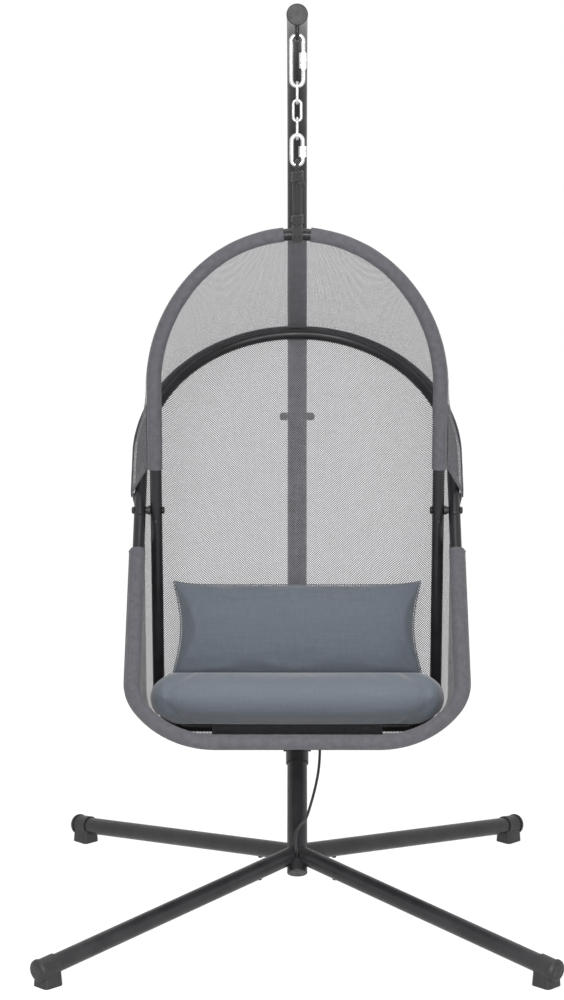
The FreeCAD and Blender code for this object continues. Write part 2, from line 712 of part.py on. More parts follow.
def make_pivot_nuts():
    """Domed cap nuts outside the outer tube."""
    nuts = []
    for mirror in (-1, 1):
        outward = X_AXIS * mirror
        seat = pivot_spot(mirror, OUTER_HALF_WIDTH + TUBE_DIA / 2 + FIT)
        nut = dome(seat, outward, PIVOT_CAP_DIA, PIVOT_CAP_HEIGHT)
        hole_end = seat + outward * (PIVOT_CAP_HEIGHT / 2 + FIT)
        nuts.append(nut.cut(rod(seat - outward, hole_end, PIVOT_BOLT_DIA + 2 * FIT)))
    return Part.makeCompound(nuts)


# Mesh bag ----------------------------------------------------------------------------------

def crown(rise, lean):
    """A half loop's apex on the middle plane."""
    return loop_point(0, rise, lean)


def outward_normal(start, end):
    """The bag's outward direction on a stretch of its middle section."""
    run = (end - start).normalize()
    return V(0, -run.z, run.y)


def crown_offset(radius, normals):
    """From a tube's centre to the bag's surface where it turns round the tube."""
    if len(normals) == 1:
        return normals[0] * radius
    total = normals[0] + normals[1]
    return total * (radius / (1 + normals[0].dot(normals[1])))


def bag_crowns():
    hoop = crown(HOOD_RISE, INNER_LEAN)
    arch = crown(ARCH_RISE, -OUTER_LEAN)
    rear = crown(-REAR_DROP, INNER_LEAN)
    front = crown(-FRONT_DROP, -OUTER_LEAN)
    return hoop, arch, rear, front


def bag_curves():
    """Each half loop's path, its lean, the crown offset and the offset on its sides."""
    hoop, arch, rear, front = bag_crowns()
    over, behind, under = (outward_normal(hoop, arch), outward_normal(arch, rear),
                           outward_normal(rear, front))
    bare = TUBE_DIA / 2 + SOFT_GAP
    sleeved = SLEEVE_DIA / 2 + SOFT_GAP
    return {
        "hoop": (hood_path(HOOD_HEM_ON_HOOP), INNER_LEAN, crown_offset(sleeved, [over]),
                 sleeved * HOOP_SIDE_SHARE),
        "arch": (arch_path(HEM_ON_ARCH), -OUTER_LEAN, crown_offset(bare, [over, behind]),
                 bare * ARCH_SIDE_SHARE),
        "rear": (rear_path(-HEM_ON_REAR), INNER_LEAN, crown_offset(sleeved, [behind, under]),
                 sleeved + BAG_SIDE_GAP),
        "front": (front_path(-HEM_ON_FRONT), -OUTER_LEAN, crown_offset(sleeved, [under]),
                  sleeved * FRONT_SIDE_SHARE),
    }


def offset_curve(curve, grow):
    """The bag's line round one half loop, as a smooth edge."""
    path, lean, at_crown, at_side = curve
    up, back = loop_axes(lean)
    points = Part.Wire(path).discretize(Number=PANEL_POINTS)
    lifted = at_crown.dot(up)
    moved = []
    for i, point in enumerate(points):
        before, after = points[max(i - 1, 0)], points[min(i + 1, PANEL_POINTS - 1)]
        run = (after - before).normalize()
        outward = back.cross(run) * (1 if lifted > 0 else -1)
        if (point - PIVOT).dot(outward) < 0:
            outward = outward * -1
        share = abs(outward.dot(up))
        reach = at_side + (abs(lifted) - at_side) * share + grow
        moved.append(point + outward * reach + back * (at_crown.dot(back) * share))
    spline = Part.BSplineCurve()
    spline.interpolate(moved)
    return spline.toShape()


def fabric_panel(first, second):
    """A thin closed solid stretched between two half loops."""
    inner = offset_curve(first, 0), offset_curve(second, 0)
    outer = offset_curve(first, FABRIC), offset_curve(second, FABRIC)

    def end(edge, last):
        return edge.valueAt(edge.LastParameter if last else edge.FirstParameter)

    faces = [
        Part.makeRuledSurface(inner[0], inner[1]),
        Part.makeRuledSurface(outer[0], outer[1]),
        Part.makeRuledSurface(inner[0], outer[0]),
        Part.makeRuledSurface(inner[1], outer[1]),
    ]
    for last in (False, True):
        inside = line(end(inner[0], last), end(inner[1], last))
        outside = line(end(outer[0], last), end(outer[1], last))
        faces.append(Part.makeRuledSurface(inside, outside))
    shell = Part.Shell([f for shape in faces for f in shape.Faces])
    shell.sewShape()
    solid = Part.Solid(shell)
    if solid.Volume < 0:
        solid.reverse()
    return solid


def rope_notch():
    """The space at the top of the hood hoop that the rope wraps through."""
    top = crown(HOOD_RISE, INNER_LEAN)
    depth = TUBE_DIA / 2 + ROPE_DIA + 2 * SOFT_GAP
    corner = top - V(ROPE_NOTCH_HALF, depth, 2 * depth)
    return Part.makeBox(2 * ROPE_NOTCH_HALF, 2 * depth, 4 * depth, corner)


def make_hood_sleeve():
    """Sleeve on the hood hoop, open at the top for the rope."""
    return swept_tube(hood_path(HOOD_HEM_ON_HOOP), SLEEVE_DIA, SLEEVE_BORE).cut(rope_notch())


def make_hood_panel():
    curves = bag_curves()
    return fabric_panel(curves["hoop"], curves["arch"]).cut(rope_notch())


def make_front_sleeve():
    return swept_tube(front_path(-HEM_ON_FRONT), SLEEVE_DIA, SLEEVE_BORE)


def make_rear_sleeve():
    bar = crown(-REAR_DROP, INNER_LEAN)
    half = X_AXIS * REAR_SLEEVE_HALF
    return pipe(bar - half, bar + half, SLEEVE_DIA, SLEEVE_BORE)


# Cushions ----------------------------------------------------------------------------------

def soft_box(width, depth, height, corner, edge):
    """A box centred on X with its lower rear edge at the origin, rounded all round."""
    box = Part.makeBox(width, depth, height, V(-width / 2, -depth, 0))
    uprights = [e for e in box.Edges if abs(e.tangentAt(e.FirstParameter).z) > 0.9]
    box = box.makeFillet(corner, uprights)
    rims = [e for e in box.Edges if e.BoundBox.ZLength < 0.01]
    return box.makeFillet(edge, rims)


def settled(shape, support, direction):
    """A soft piece moved along a direction until it all but touches its support."""
    for _ in range(SETTLE_STEPS):
        room = shape.distToShape(support)[0] - SOFT_GAP
        shape.translate(direction * room)
    return shape


def make_seat_cushion(sling):
    """The seat cushion, resting where the bag narrows below it."""
    cushion = soft_box(SEAT_WIDTH, SEAT_DEPTH, SEAT_THICKNESS, SEAT_CORNER, SEAT_EDGE)
    cushion.rotate(V(0, 0, 0), X_AXIS, -SEAT_TILT)
    cushion.translate(V(0, SEAT_REAR_BACK, SEAT_REAR_HEIGHT))
    return settled(cushion, sling, Z_AXIS * -1)


def make_pillow(cushion):
    """A pillow that stands on the seat cushion and leans on the back panel."""
    arch, rear = bag_crowns()[1:3]
    normal = outward_normal(arch, rear)
    curves = bag_curves()
    foot = rear + curves["rear"][2]
    climb = (arch + curves["arch"][2] - foot).normalize()
    seat_up = V(0, sin(radians(SEAT_TILT)), cos(radians(SEAT_TILT)))
    seat_top = V(0, SEAT_REAR_BACK, SEAT_REAR_HEIGHT) + seat_up * (SEAT_THICKNESS + SOFT_GAP)
    pillow = soft_box(PILLOW_WIDTH, PILLOW_THICKNESS, PILLOW_HEIGHT, PILLOW_EDGE, PILLOW_EDGE - 4)
    front_shift = normal * -(SOFT_GAP + FABRIC + PILLOW_FORWARD)
    start = foot + front_shift
    front_foot = start - V(0, climb.z, -climb.y) * (PILLOW_THICKNESS / 2)
    rise = (seat_top - front_foot).dot(seat_up) / climb.dot(seat_up)
    pillow.rotate(V(0, 0, 0), X_AXIS, -degrees(climb.getAngle(Z_AXIS)))
    pillow.translate(start + climb * (rise + SETTLE_START))
    return settled(pillow, cushion, climb * -1)


# Tether cord -------------------------------------------------------------------------------

def knot_centre():
    """A knot under the bag, on the line round the rear bar that the bag's corner follows."""
    curves = bag_curves()
    rear = bag_crowns()[2]
    corner = curves["rear"][2]
    reach = corner.Length + FABRIC * 1.5 + SOFT_GAP + KNOT_DIA / 2
    down = V(0, corner.y * KNOT_LEAN, corner.z).normalize()
    return rear + X_AXIS * CORD_SIDE + down * reach


def cord_route():
    """Points of the slack cord, chosen by hand: some from its knot, the others from the eye."""
    knot = knot_centre()
    eye_top = anchor_centre() + Z_AXIS * (ANCHOR_RADIUS + ANCHOR_WIRE / 2)
    start = knot - Z_AXIS * (KNOT_DIA * KNOT_FLAT + CORD_START)
    return ([start] + [knot + V(*step) for step in CORD_FROM_KNOT]
            + [eye_top + V(*step) for step in CORD_FROM_EYE])


def rounded_route(points):
    """Straight runs joined by tangent arcs, as edges, with the arcs' radii."""
    edges = []
    radii = []
    here = points[0]
    for before, point, after in zip(points, points[1:], points[2:]):
        back, ahead = before - point, after - point
        turn = pi - back.getAngle(ahead)
        trim = ROUTE_TRIM * min(back.Length, ahead.Length)
        radii.append(trim / tan(turn / 2))
        back.normalize()
        ahead.normalize()
        start, end = point + back * trim, point + ahead * trim
        inward = (back + ahead).normalize()
        depth = radii[-1] / cos(turn / 2) - radii[-1]
        edges.append(line(here, start))
        edges.append(Part.Arc(start, point + inward * depth, end).toShape())
        here = end
    edges.append(line(here, points[-1]))
    return edges, radii


def make_tether_cord():
    edges, radii = rounded_route(cord_route())
    print("tether cord radii (mm):", [round(r, 1) for r in radii])
    body = sweep(edges, CORD_DIA)
    length = sum(edge.Length for edge in edges)
    expected = pi * (CORD_DIA / 2) ** 2 * length
    print("tether cord length %.1f mm, volume ratio %.4f" % (length, body.Volume / expected))
    return body


def make_tether_knot():
    """The knot that holds the cord's upper end under the bag."""
    knot = knot_centre()
    body = Part.makeSphere(KNOT_DIA / 2, knot)
    flat = Part.makeBox(KNOT_DIA, KNOT_DIA, KNOT_DIA,
                        knot - V(KNOT_DIA / 2, KNOT_DIA / 2, KNOT_DIA * (1 + KNOT_FLAT)))
    return body.cut(flat)


# Nodes -------------------------------------------------------------------------------------

def stand_nodes():
    nodes = {
        "hub_post": make_hub_post(),
        "hub_plug": make_plug(post_point(-POST_TAIL), POST_DIR, POLE_BORE),
        "pole_middle_section": make_middle_section(),
        "pole_upper_section": make_upper_section(),
        "boom_cap": make_plug(V(0, -BOOM_TIP, BOOM_HEIGHT), Y_AXIS, POLE_BORE),
        "pole_lower_bolt": make_through_bolt(lower_bolt_point(), POLE_DIA + 2 * FIT + 2 * BELL_WALL,
                                             BOLT_HEAD_HEIGHT),
        "pole_joint_bolt": make_through_bolt(joint_bolt_point(), POLE_DIA, BOLT_HEAD_HEIGHT),
        "pole_bolt_caps": make_bolt_caps(),
        "boom_eye": make_boom_eye(),
        "tether_anchor": make_tether_anchor(),
    }
    screws = []
    for quarter, corner in enumerate(("rear_right", "rear_left", "front_left", "front_right")):
        angle = 45 + 90 * quarter
        nodes["leg_" + corner] = turned(make_leg(), angle)
        nodes["foot_" + corner] = turned(make_foot(), angle)
        screws.append(turned(make_leg_screw(), angle))
    nodes["leg_screws"] = Part.makeCompound(screws)
    return nodes


def suspension_nodes():
    upper = UPPER_LINK_TOP, UPPER_LINK_HEIGHT, UPPER_LINK_WIDTH, 0.5
    lower = LOWER_LINK_TOP, LOWER_LINK_HEIGHT, LOWER_LINK_WIDTH, 0.55
    nodes = {
        "upper_quick_link": make_quick_link(*upper),
        "upper_link_nut": make_link_nut(nut_middle(*upper), UPPER_NUT_LENGTH),
        "lower_quick_link": make_quick_link(*lower),
        "lower_link_nut": make_link_nut(nut_middle(*lower), LOWER_NUT_LENGTH),
        "hanging_rope": make_hanging_rope(),
    }
    for number in range(CHAIN_LINKS):
        nodes["chain_link_%d" % (number + 1)] = make_chain_link(number)
    return nodes


def chair_nodes():
    inner = INNER_HALF_WIDTH, INNER_SEAM_DROP, INNER_LEAN
    outer = OUTER_HALF_WIDTH, OUTER_SEAM_DROP, -OUTER_LEAN
    curves = bag_curves()
    sling = fabric_panel(curves["rear"], curves["front"])
    cushion = make_seat_cushion(sling)
    return {
        "hood_hoop": upper_tube(hood_path(-INNER_SEAM_DROP), *inner),
        "rear_seat_tube": lower_tube(rear_path(-INNER_SEAM_DROP), *inner),
        "inner_loop_buttons": make_buttons(*inner),
        "back_arch": upper_tube(arch_path(-OUTER_SEAM_DROP), *outer),
        "front_seat_tube": lower_tube(front_path(-OUTER_SEAM_DROP), *outer),
        "outer_loop_buttons": make_buttons(*outer),
        "pivot_bolts": make_pivot_bolts(),
        "pivot_spacers": make_pivot_spacers(),
        "pivot_cap_nuts": make_pivot_nuts(),
        "hood_sleeve": make_hood_sleeve(),
        "front_sleeve": make_front_sleeve(),
        "rear_sleeve": make_rear_sleeve(),
        "hood_panel": make_hood_panel(),
        "back_panel": fabric_panel(curves["arch"], curves["rear"]),
        "seat_sling": sling,
        "seat_cushion": cushion,
        "head_pillow": make_pillow(cushion),
        "tether_cord": make_tether_cord(),
        "tether_knot": make_tether_knot(),
    }


def main():
    os.makedirs("parts", exist_ok=True)
    nodes = {}
    for group in (stand_nodes, suspension_nodes, chair_nodes):
        nodes.update(group())
    for name, shape in nodes.items():
        shape.exportStep("parts/%s.step" % name)
        state = "" if shape.isValid() else " NOT VALID"
        print("%-22s solids %d volume %10.0f%s" % (name, len(shape.Solids), shape.Volume, state))


main()
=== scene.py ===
"""Looks of the hanging egg chair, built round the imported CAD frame. Lengths are in metres."""
from math import atan2, cos, exp, hypot, pi, radians, sin, sqrt, tau

import bmesh
import bpy
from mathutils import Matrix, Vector, noise
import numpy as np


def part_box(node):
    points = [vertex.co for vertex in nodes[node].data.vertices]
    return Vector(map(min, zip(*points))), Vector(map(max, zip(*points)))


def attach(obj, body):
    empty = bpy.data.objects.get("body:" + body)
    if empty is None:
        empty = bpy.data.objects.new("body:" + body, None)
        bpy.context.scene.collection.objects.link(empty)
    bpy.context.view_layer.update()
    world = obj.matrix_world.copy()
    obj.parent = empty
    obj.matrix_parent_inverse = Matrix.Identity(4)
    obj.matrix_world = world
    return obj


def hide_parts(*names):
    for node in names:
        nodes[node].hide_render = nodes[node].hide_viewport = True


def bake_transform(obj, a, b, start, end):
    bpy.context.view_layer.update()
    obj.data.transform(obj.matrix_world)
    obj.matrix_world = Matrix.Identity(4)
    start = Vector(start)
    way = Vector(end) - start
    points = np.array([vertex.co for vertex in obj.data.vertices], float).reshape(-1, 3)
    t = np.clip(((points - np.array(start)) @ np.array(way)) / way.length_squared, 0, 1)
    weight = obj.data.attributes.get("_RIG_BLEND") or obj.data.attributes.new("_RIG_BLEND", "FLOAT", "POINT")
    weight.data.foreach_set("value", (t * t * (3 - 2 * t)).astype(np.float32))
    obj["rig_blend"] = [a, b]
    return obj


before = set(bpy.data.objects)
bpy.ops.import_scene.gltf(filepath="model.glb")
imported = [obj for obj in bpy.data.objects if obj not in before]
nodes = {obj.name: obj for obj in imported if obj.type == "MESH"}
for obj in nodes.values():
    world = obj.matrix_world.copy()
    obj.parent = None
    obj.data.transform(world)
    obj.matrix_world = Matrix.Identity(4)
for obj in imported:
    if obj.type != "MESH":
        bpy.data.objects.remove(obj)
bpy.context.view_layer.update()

# Sizes that the CAD source holds too
PIVOT = Vector((0, 0.038, 0.876))
HANGER_FRONT = 0.026
INNER_LEAN, OUTER_LEAN = 6.0, -45.0     # degrees, positive to the front
INNER_HALF, OUTER_HALF = 0.303, 0.338
HOOD_RISE, HOOD_ARCH_RISE, HOOD_SIDE_RADIUS = 0.600, 0.325, 0.343
REAR_DROP, REAR_CORNER = 0.493, 0.070
ARCH_RISE = 0.486
FRONT_DROP, FRONT_CORNER_WIDTH, FRONT_CORNER_RISE, FRONT_SIDE_RADIUS = 0.575, 0.172, 0.138, 0.100
FABRIC = 0.0025
HEM_ON_HOOP, HEM_ON_ARCH, HEM_ON_REAR, HEM_ON_FRONT = 0.092, 0.045, 0.075, 0.105
SLEEVED, BARE = 0.0155, 0.0132          # tube centre to cloth, with and without a sleeve
BAG_SIDE_GAP = 0.010
HOOP_SIDE, ARCH_SIDE, FRONT_SIDE = 1.12, 1.35, 1.2
REAR_SLEEVE_HALF = 0.190
ROPE_NOTCH_HALF = 0.026
SEAT_TILT = 14.0
SEAT_SIZE = (0.632, 0.372, 0.100)
PILLOW_SIZE = (0.545, 0.206, 0.096)
CORD_RADIUS = 0.003

# Camera, light and floor
CAMERA_PLACE = (0, -5.782, 1.891)
CAMERA_PITCH = 9.68                     # degrees below level
CAMERA_LENS, CAMERA_SENSOR = 98.9, 36.0     # mm
CAMERA_SHIFT = -0.0152                  # the base and the chair both stay in the frame
AMBIENT = 0.44
LAMPS = (                               # name, place, diameter, watts
    ("key", (-1.2, -4.6, 3.2), 1.6, 85),
    ("fill", (1.6, -4.4, 1.8), 1.6, 45),
    ("top", (0.2, 0.2, 4.4), 2.4, 45),
    ("front", (0.2, -5.6, 1.85), 0.9, 85),
)
LAMP_TARGET = (0, 0, 0.9)
FLOOR_HALF, FLOOR_WHITE = 20.0, 0.86
FLOOR_GLOW, FLOOR_GLOW_SHARE = 1.18, 0.80   # the rest of the floor still takes a shadow

# Cloth and sewing
MESH_PITCH = 0.0052
HOOD_SAG, BACK_SAG, SEAT_SAG = 0.006, 0.002, 0.0
SLEEVE_RADIUS, FRONT_SLEEVE_RADIUS = 0.0148, 0.0149
HOOD_HEM, FRONT_HEM, REAR_HEM = 0.012, 0.020, 0.006     # flat width past the sleeve
HOOD_STITCH, FRONT_STITCH = 0.0245, 0.0325              # from the tube's centre
SIDE_HEM_WIDTH, SIDE_HEM_THICKNESS, SIDE_HEM_INSET = 0.013, 0.0034, 0.006
SEAM_TAPE_WIDTH, SEAM_TAPE_THICKNESS = 0.020, 0.0022
NOTCH_REACH = 0.045

# Rope and pads
ROPE_RADIUS = 0.0039
ROPE_SPACING = 0.0066
SEAT_ROLL_SIDE, SEAT_ROLL_FRONT, SEAT_LIFT = 0.056, 0.052, 0.007
PILLOW_ROLL, PILLOW_LIFT = 0.080, 0.009
FILL_PRESSURE, FILL_FRAMES = 4.0, 20

# Samples
ALONG = 193                             # across each half loop
DEEP = 33                               # from one loop to the next


# Small helpers

def grey(level, tint=(0, 0, 0)):
    """Linear colour of an 8-bit display grey with a small display tint."""
    shades = [(level + t) / 255 for t in tint]
    linear = [s / 12.92 if s < 0.04045 else ((s + 0.055) / 1.055) ** 2.4 for s in shades]
    return (*linear, 1.0)


def grid_mesh(name, rows, round_rows=False, uvs=None):
    """A smooth mesh through rows of points; round_rows closes each row on itself."""
    count = len(rows[0])
    points = [p for row in rows for p in row]
    steps = count if round_rows else count - 1
    faces = []
    for i in range(len(rows) - 1):
        for j in range(steps):
            k = (j + 1) % count
            faces.append((i * count + j, i * count + k, (i + 1) * count + k, (i + 1) * count + j))
    mesh = bpy.data.meshes.new(name)
    mesh.from_pydata([tuple(p) for p in points], [], faces)
    if uvs:
        layer = mesh.uv_layers.new(name="cloth")
        for loop in mesh.loops:
            layer.data[loop.index].uv = uvs[loop.vertex_index]
    mesh.polygons.foreach_set("use_smooth", [True] * len(mesh.polygons))
    piece = bpy.data.objects.new(name, mesh)
    bpy.context.scene.collection.objects.link(piece)
    return piece


def finish_piece(piece, look, body, slot, *replaced):
    """Material, body and the CAD nodes that a piece stands for; the slot argument is not used."""
    piece.data.materials.clear()
    piece.data.materials.append(look)
    if body:
        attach(piece, body)
    if replaced:
        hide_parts(*replaced)
    return piece


def ripple(point, scale, seed):
    """Smooth noise from -1 to 1 at a point."""
    return noise.noise(Vector(point) * scale + Vector((seed * 7.3, seed * 3.1, seed * 5.7)))


# Materials

class Look:
    """A Principled material with short calls for its nodes."""

    def __init__(self, name, colour, roughness, **values):
        self.mat = bpy.data.materials.new(name)
        self.mat.use_nodes = True
        self.tree = self.mat.node_tree
        self.shader = self.tree.nodes["Principled BSDF"]
        self.shader.inputs["Base Color"].default_value = colour
        self.shader.inputs["Roughness"].default_value = roughness
        for key, value in values.items():
            self.shader.inputs[key.replace("_", " ")].default_value = value

    def add(self, kind, **settings):
        node = self.tree.nodes.new(kind)
        for key, value in settings.items():
            setattr(node, key, value)
        return node

    def link(self, source, target):
        self.tree.links.new(source, target)

    def math(self, operation, *values):
        node = self.add("ShaderNodeMath", operation=operation)
        for i, value in enumerate(values):
            if isinstance(value, (int, float)):
                node.inputs[i].default_value = value
            else:
                self.link(value, node.inputs[i])
        return node.outputs[0]

    def noise(self, scale, detail=2.0, stretch=None):
        """Noise by object position, in features per metre."""
        where = self.add("ShaderNodeTexCoord").outputs["Object"]
        if stretch:
            mapping = self.add("ShaderNodeMapping")
            mapping.inputs["Scale"].default_value = stretch
            self.link(where, mapping.inputs["Vector"])
            where = mapping.outputs["Vector"]
        node = self.add("ShaderNodeTexNoise")
        node.inputs["Scale"].default_value = scale
        node.inputs["Detail"].default_value = detail
        self.link(where, node.inputs["Vector"])
        return node.outputs["Fac"]

    def ramp(self, source, stops):
        """A colour ramp from (position, colour) stops."""
        node = self.add("ShaderNodeValToRGB")
        elements = node.color_ramp.elements
        while len(elements) < len(stops):
            elements.new(0.5)
        for element, (position, colour) in zip(elements, stops):
            element.position = position
            element.color = colour
        self.link(source, node.inputs["Fac"])
        return node.outputs["Color"]

    def span(self, source, low, high, start=0.3, end=0.7):
        """source's range from start to end, mapped to low to high."""
        node = self.add("ShaderNodeMapRange")
        for key, value in (("From Min", start), ("From Max", end),
                           ("To Min", low), ("To Max", high)):
            node.inputs[key].default_value = value
        self.link(source, node.inputs["Value"])
        return node.outputs["Result"]

    def bump(self, height, distance, strength=1.0):
        node = self.add("ShaderNodeBump")
        node.inputs["Strength"].default_value = strength
        node.inputs["Distance"].default_value = distance
        self.link(height, node.inputs["Height"])
        self.link(node.outputs["Normal"], self.shader.inputs["Normal"])

    def set(self, socket, source):
        self.link(source, self.shader.inputs[socket])

    def uv(self):
        """The cloth's own two lengths, in metres."""
        split = self.add("ShaderNodeSeparateXYZ")
        self.link(self.add("ShaderNodeUVMap", uv_map="cloth").outputs["UV"], split.inputs[0])
        return split.outputs[0], split.outputs[1]

    def ridge(self, length, pitch):
        """1 on the middle of each yarn and 0 between yarns, one yarn per pitch."""
        phase = self.math("FRACT", self.math("DIVIDE", length, pitch))
        off_middle = self.math("ABSOLUTE", self.math("SUBTRACT", phase, 0.5))
        return self.math("SUBTRACT", 1.0, self.math("MULTIPLY", off_middle, 2.0))


def powder_coat(name, level, tint, roughness):
    """Baked powder coat: fine orange peel, soft cloudiness and dust in the rough spots."""
    look = Look(name, grey(level, tint), roughness, Coat_Weight=0.15, Coat_Roughness=0.16,
                Specular_IOR_Level=0.25)
    cloud = look.noise(14, 4)
    pale, dark = grey(level + 7, tint), grey(level - 6, tint)
    look.set("Base Color", look.ramp(cloud, [(0.35, dark), (0.65, pale)]))
    look.set("Roughness", look.span(look.noise(60, 3), roughness - 0.06, roughness + 0.08))
    look.bump(look.noise(650, 2), 0.00025, 0.5)
    return look.mat


def moulded_plastic(name, level, roughness):
    """Matt moulded plastic with a spark-eroded grain."""
    look = Look(name, grey(level), roughness)
    stops = [(0.3, grey(level - 5)), (0.7, grey(level + 6))]
    look.set("Base Color", look.ramp(look.noise(30, 4), stops))
    look.set("Roughness", look.span(look.noise(90, 2), roughness - 0.08, roughness + 0.06))
    look.bump(look.noise(1400, 1), 0.0002, 0.6)
    return look.mat


def plated_steel():
    """Bright zinc plate: fine drawing marks and slightly dull patches."""
    look = Look("bright_zinc", grey(214), 0.24, Metallic=1.0)
    stops = [(0.3, grey(190)), (0.7, grey(226, (0, 0, 3)))]
    look.set("Base Color", look.ramp(look.noise(120, 3), stops))
    look.set("Roughness", look.span(look.noise(240, 3), 0.16, 0.34))
    look.bump(look.noise(900, 2, (1, 1, 0.15)), 0.0001, 0.5)
    return look.mat


def braided_rope(name, level, pitch):
    """Black braid: two sets of strands that cross, by the tube's own lengths."""
    look = Look(name, grey(level), 0.62, Sheen_Weight=0.25)
    around, length = look.uv()
    falling = look.ridge(look.math("ADD", length, around), pitch)
    rising = look.ridge(look.math("SUBTRACT", length, around), pitch)
    strands = look.math("MAXIMUM", falling, rising)
    # The base colour is painted lighter on the strand crowns and darker in the grooves between strands: a
    # painted highlight and painted shade that follow the bump.
    look.set("Base Color", look.ramp(strands, [(0.45, grey(level - 12)), (1.0, grey(level + 22))]))
    look.bump(strands, 0.0008, 0.9)
    return look.mat


def open_mesh(name, level, closed, opened):
    """Knitted sling mesh: coated yarns round small holes in staggered rows."""
    look = Look(name, grey(level, (0, -1, 4)), 0.62)
    per_length = tau / MESH_PITCH
    waves = [look.math("COSINE", look.math("MULTIPLY", length, per_length)) for length in look.uv()]
    hole = look.math("MULTIPLY", *waves)
    look.set("Alpha", look.span(hole, 1.0, 0.0, closed, opened))
    cloud = look.noise(40, 3)
    dark, pale = grey(level - 6, (0, -1, 4)), grey(level + 6, (0, -1, 5))
    look.set("Base Color", look.ramp(cloud, [(0.3, dark), (0.7, pale)]))
    look.bump(look.math("MULTIPLY", hole, -1.0), 0.0006, 0.6)
    return look.mat


def close_weave(name, level, tint, pitch, streak):
    """The same yarns laid double, with no holes to see through."""
    look = Look(name, grey(level, tint), 0.72, Sheen_Weight=0.15)
    across, length = look.uv()
    over = look.math("MULTIPLY", look.ridge(across, pitch), look.ridge(length, pitch))
    lines = look.noise(90, 4, streak)
    # tone mixes the yarn's own streaky unevenness with painted light: the yarn crossings are painted lighter
    # and the gaps between yarns darker, a painted highlight and painted shade.
    tone = look.math("ADD", look.math("MULTIPLY", over, 0.35), look.math("MULTIPLY", lines, 0.65))
    pale, dark = grey(level + 12, tint), grey(level - 13, tint)
    look.set("Base Color", look.ramp(tone, [(0.25, dark), (0.75, pale)]))
    look.bump(over, 0.0005, 0.7)
    return look.mat


def cushion_cloth():
    """Dense polyester canvas: fine plain weave, faint slubs and soft tone changes."""
    look = Look("canvas", grey(101, (-1, 6, 15)), 0.85, Sheen_Weight=0.35, Sheen_Roughness=0.5)
    slub_x = look.noise(55, 5, (0.25, 6, 6))
    slub_z = look.noise(55, 5, (6, 1, 1))
    tone = look.math("MULTIPLY", look.math("ADD", slub_x, slub_z), 0.5)
    pale, dark = grey(105, (-1, 6, 15)), grey(97, (-2, 5, 15))
    look.set("Base Color", look.ramp(tone, [(0.35, dark), (0.65, pale)]))
    split = look.add("ShaderNodeSeparateXYZ")
    look.link(look.add("ShaderNodeTexCoord").outputs["Object"], split.inputs[0])
    weave = look.math("ADD", look.ridge(split.outputs[0], 0.0016),
                      look.math("ADD", look.ridge(split.outputs[1], 0.0016),
                                look.ridge(split.outputs[2], 0.0016)))
    look.bump(look.math("ADD", weave, look.math("MULTIPLY", slub_x, 1.5)), 0.00012, 0.4)
    return look.mat


def thread(name, level, tint):
    look = Look(name, grey(level, tint), 0.6, Sheen_Weight=0.3)
    look.set("Base Color", look.ramp(look.noise(300, 2),
                                     [(0.3, grey(level - 8, tint)), (0.7, grey(level + 8, tint))]))
    look.bump(look.noise(2500, 1), 0.0001, 0.5)
    return look.mat


# Camera, light and floor

def make_camera():
    data = bpy.data.cameras.new("camera")
    data.lens = CAMERA_LENS
    data.sensor_width = CAMERA_SENSOR
    data.shift_x = CAMERA_SHIFT
    camera = bpy.data.objects.new("camera", data)
    camera.location = CAMERA_PLACE
    camera.rotation_euler = (radians(90 - CAMERA_PITCH), 0, 0)
    bpy.context.scene.collection.objects.link(camera)
    bpy.context.scene.camera = camera


def area_light(name, place, size, power):
    data = bpy.data.lights.new(name, "AREA")
    data.shape = "DISK"
    data.size = size
    data.energy = power
    lamp = bpy.data.objects.new(name, data)
    lamp.location = place
    aim = Vector(LAMP_TARGET) - Vector(place)
    lamp.rotation_euler = aim.to_track_quat("-Z", "Y").to_euler()
    bpy.context.scene.collection.objects.link(lamp)


def white_rays(tree):
    """1 for rays that should meet a white background, 0 for rays that light the object."""
    path = tree.nodes.new("ShaderNodeLightPath")
    total = None
    for name in ("Is Camera Ray", "Is Glossy Ray", "Is Transmission Ray"):
        if total is None:
            total = path.outputs[name]
            continue
        most = tree.nodes.new("ShaderNodeMath")
        most.operation = "MAXIMUM"
        tree.links.new(total, most.inputs[0])
        tree.links.new(path.outputs[name], most.inputs[1])
        total = most.outputs[0]
    return total


def make_surroundings():
    world = bpy.data.worlds.new("studio")
    world.use_nodes = True
    bpy.context.scene.world = world
    tree = world.node_tree
    tree.nodes.clear()
    ambient = tree.nodes.new("ShaderNodeBackground")
    ambient.inputs["Strength"].default_value = AMBIENT
    white = tree.nodes.new("ShaderNodeBackground")
    mix = tree.nodes.new("ShaderNodeMixShader")
    out = tree.nodes.new("ShaderNodeOutputWorld")
    for shader in (ambient, white):
        shader.inputs["Color"].default_value = (1, 1, 1, 1)
    tree.links.new(white_rays(tree), mix.inputs[0])
    tree.links.new(ambient.outputs[0], mix.inputs[1])
    tree.links.new(white.outputs[0], mix.inputs[2])
    tree.links.new(mix.outputs[0], out.inputs[0])
    for lamp in LAMPS:
        area_light(*lamp)


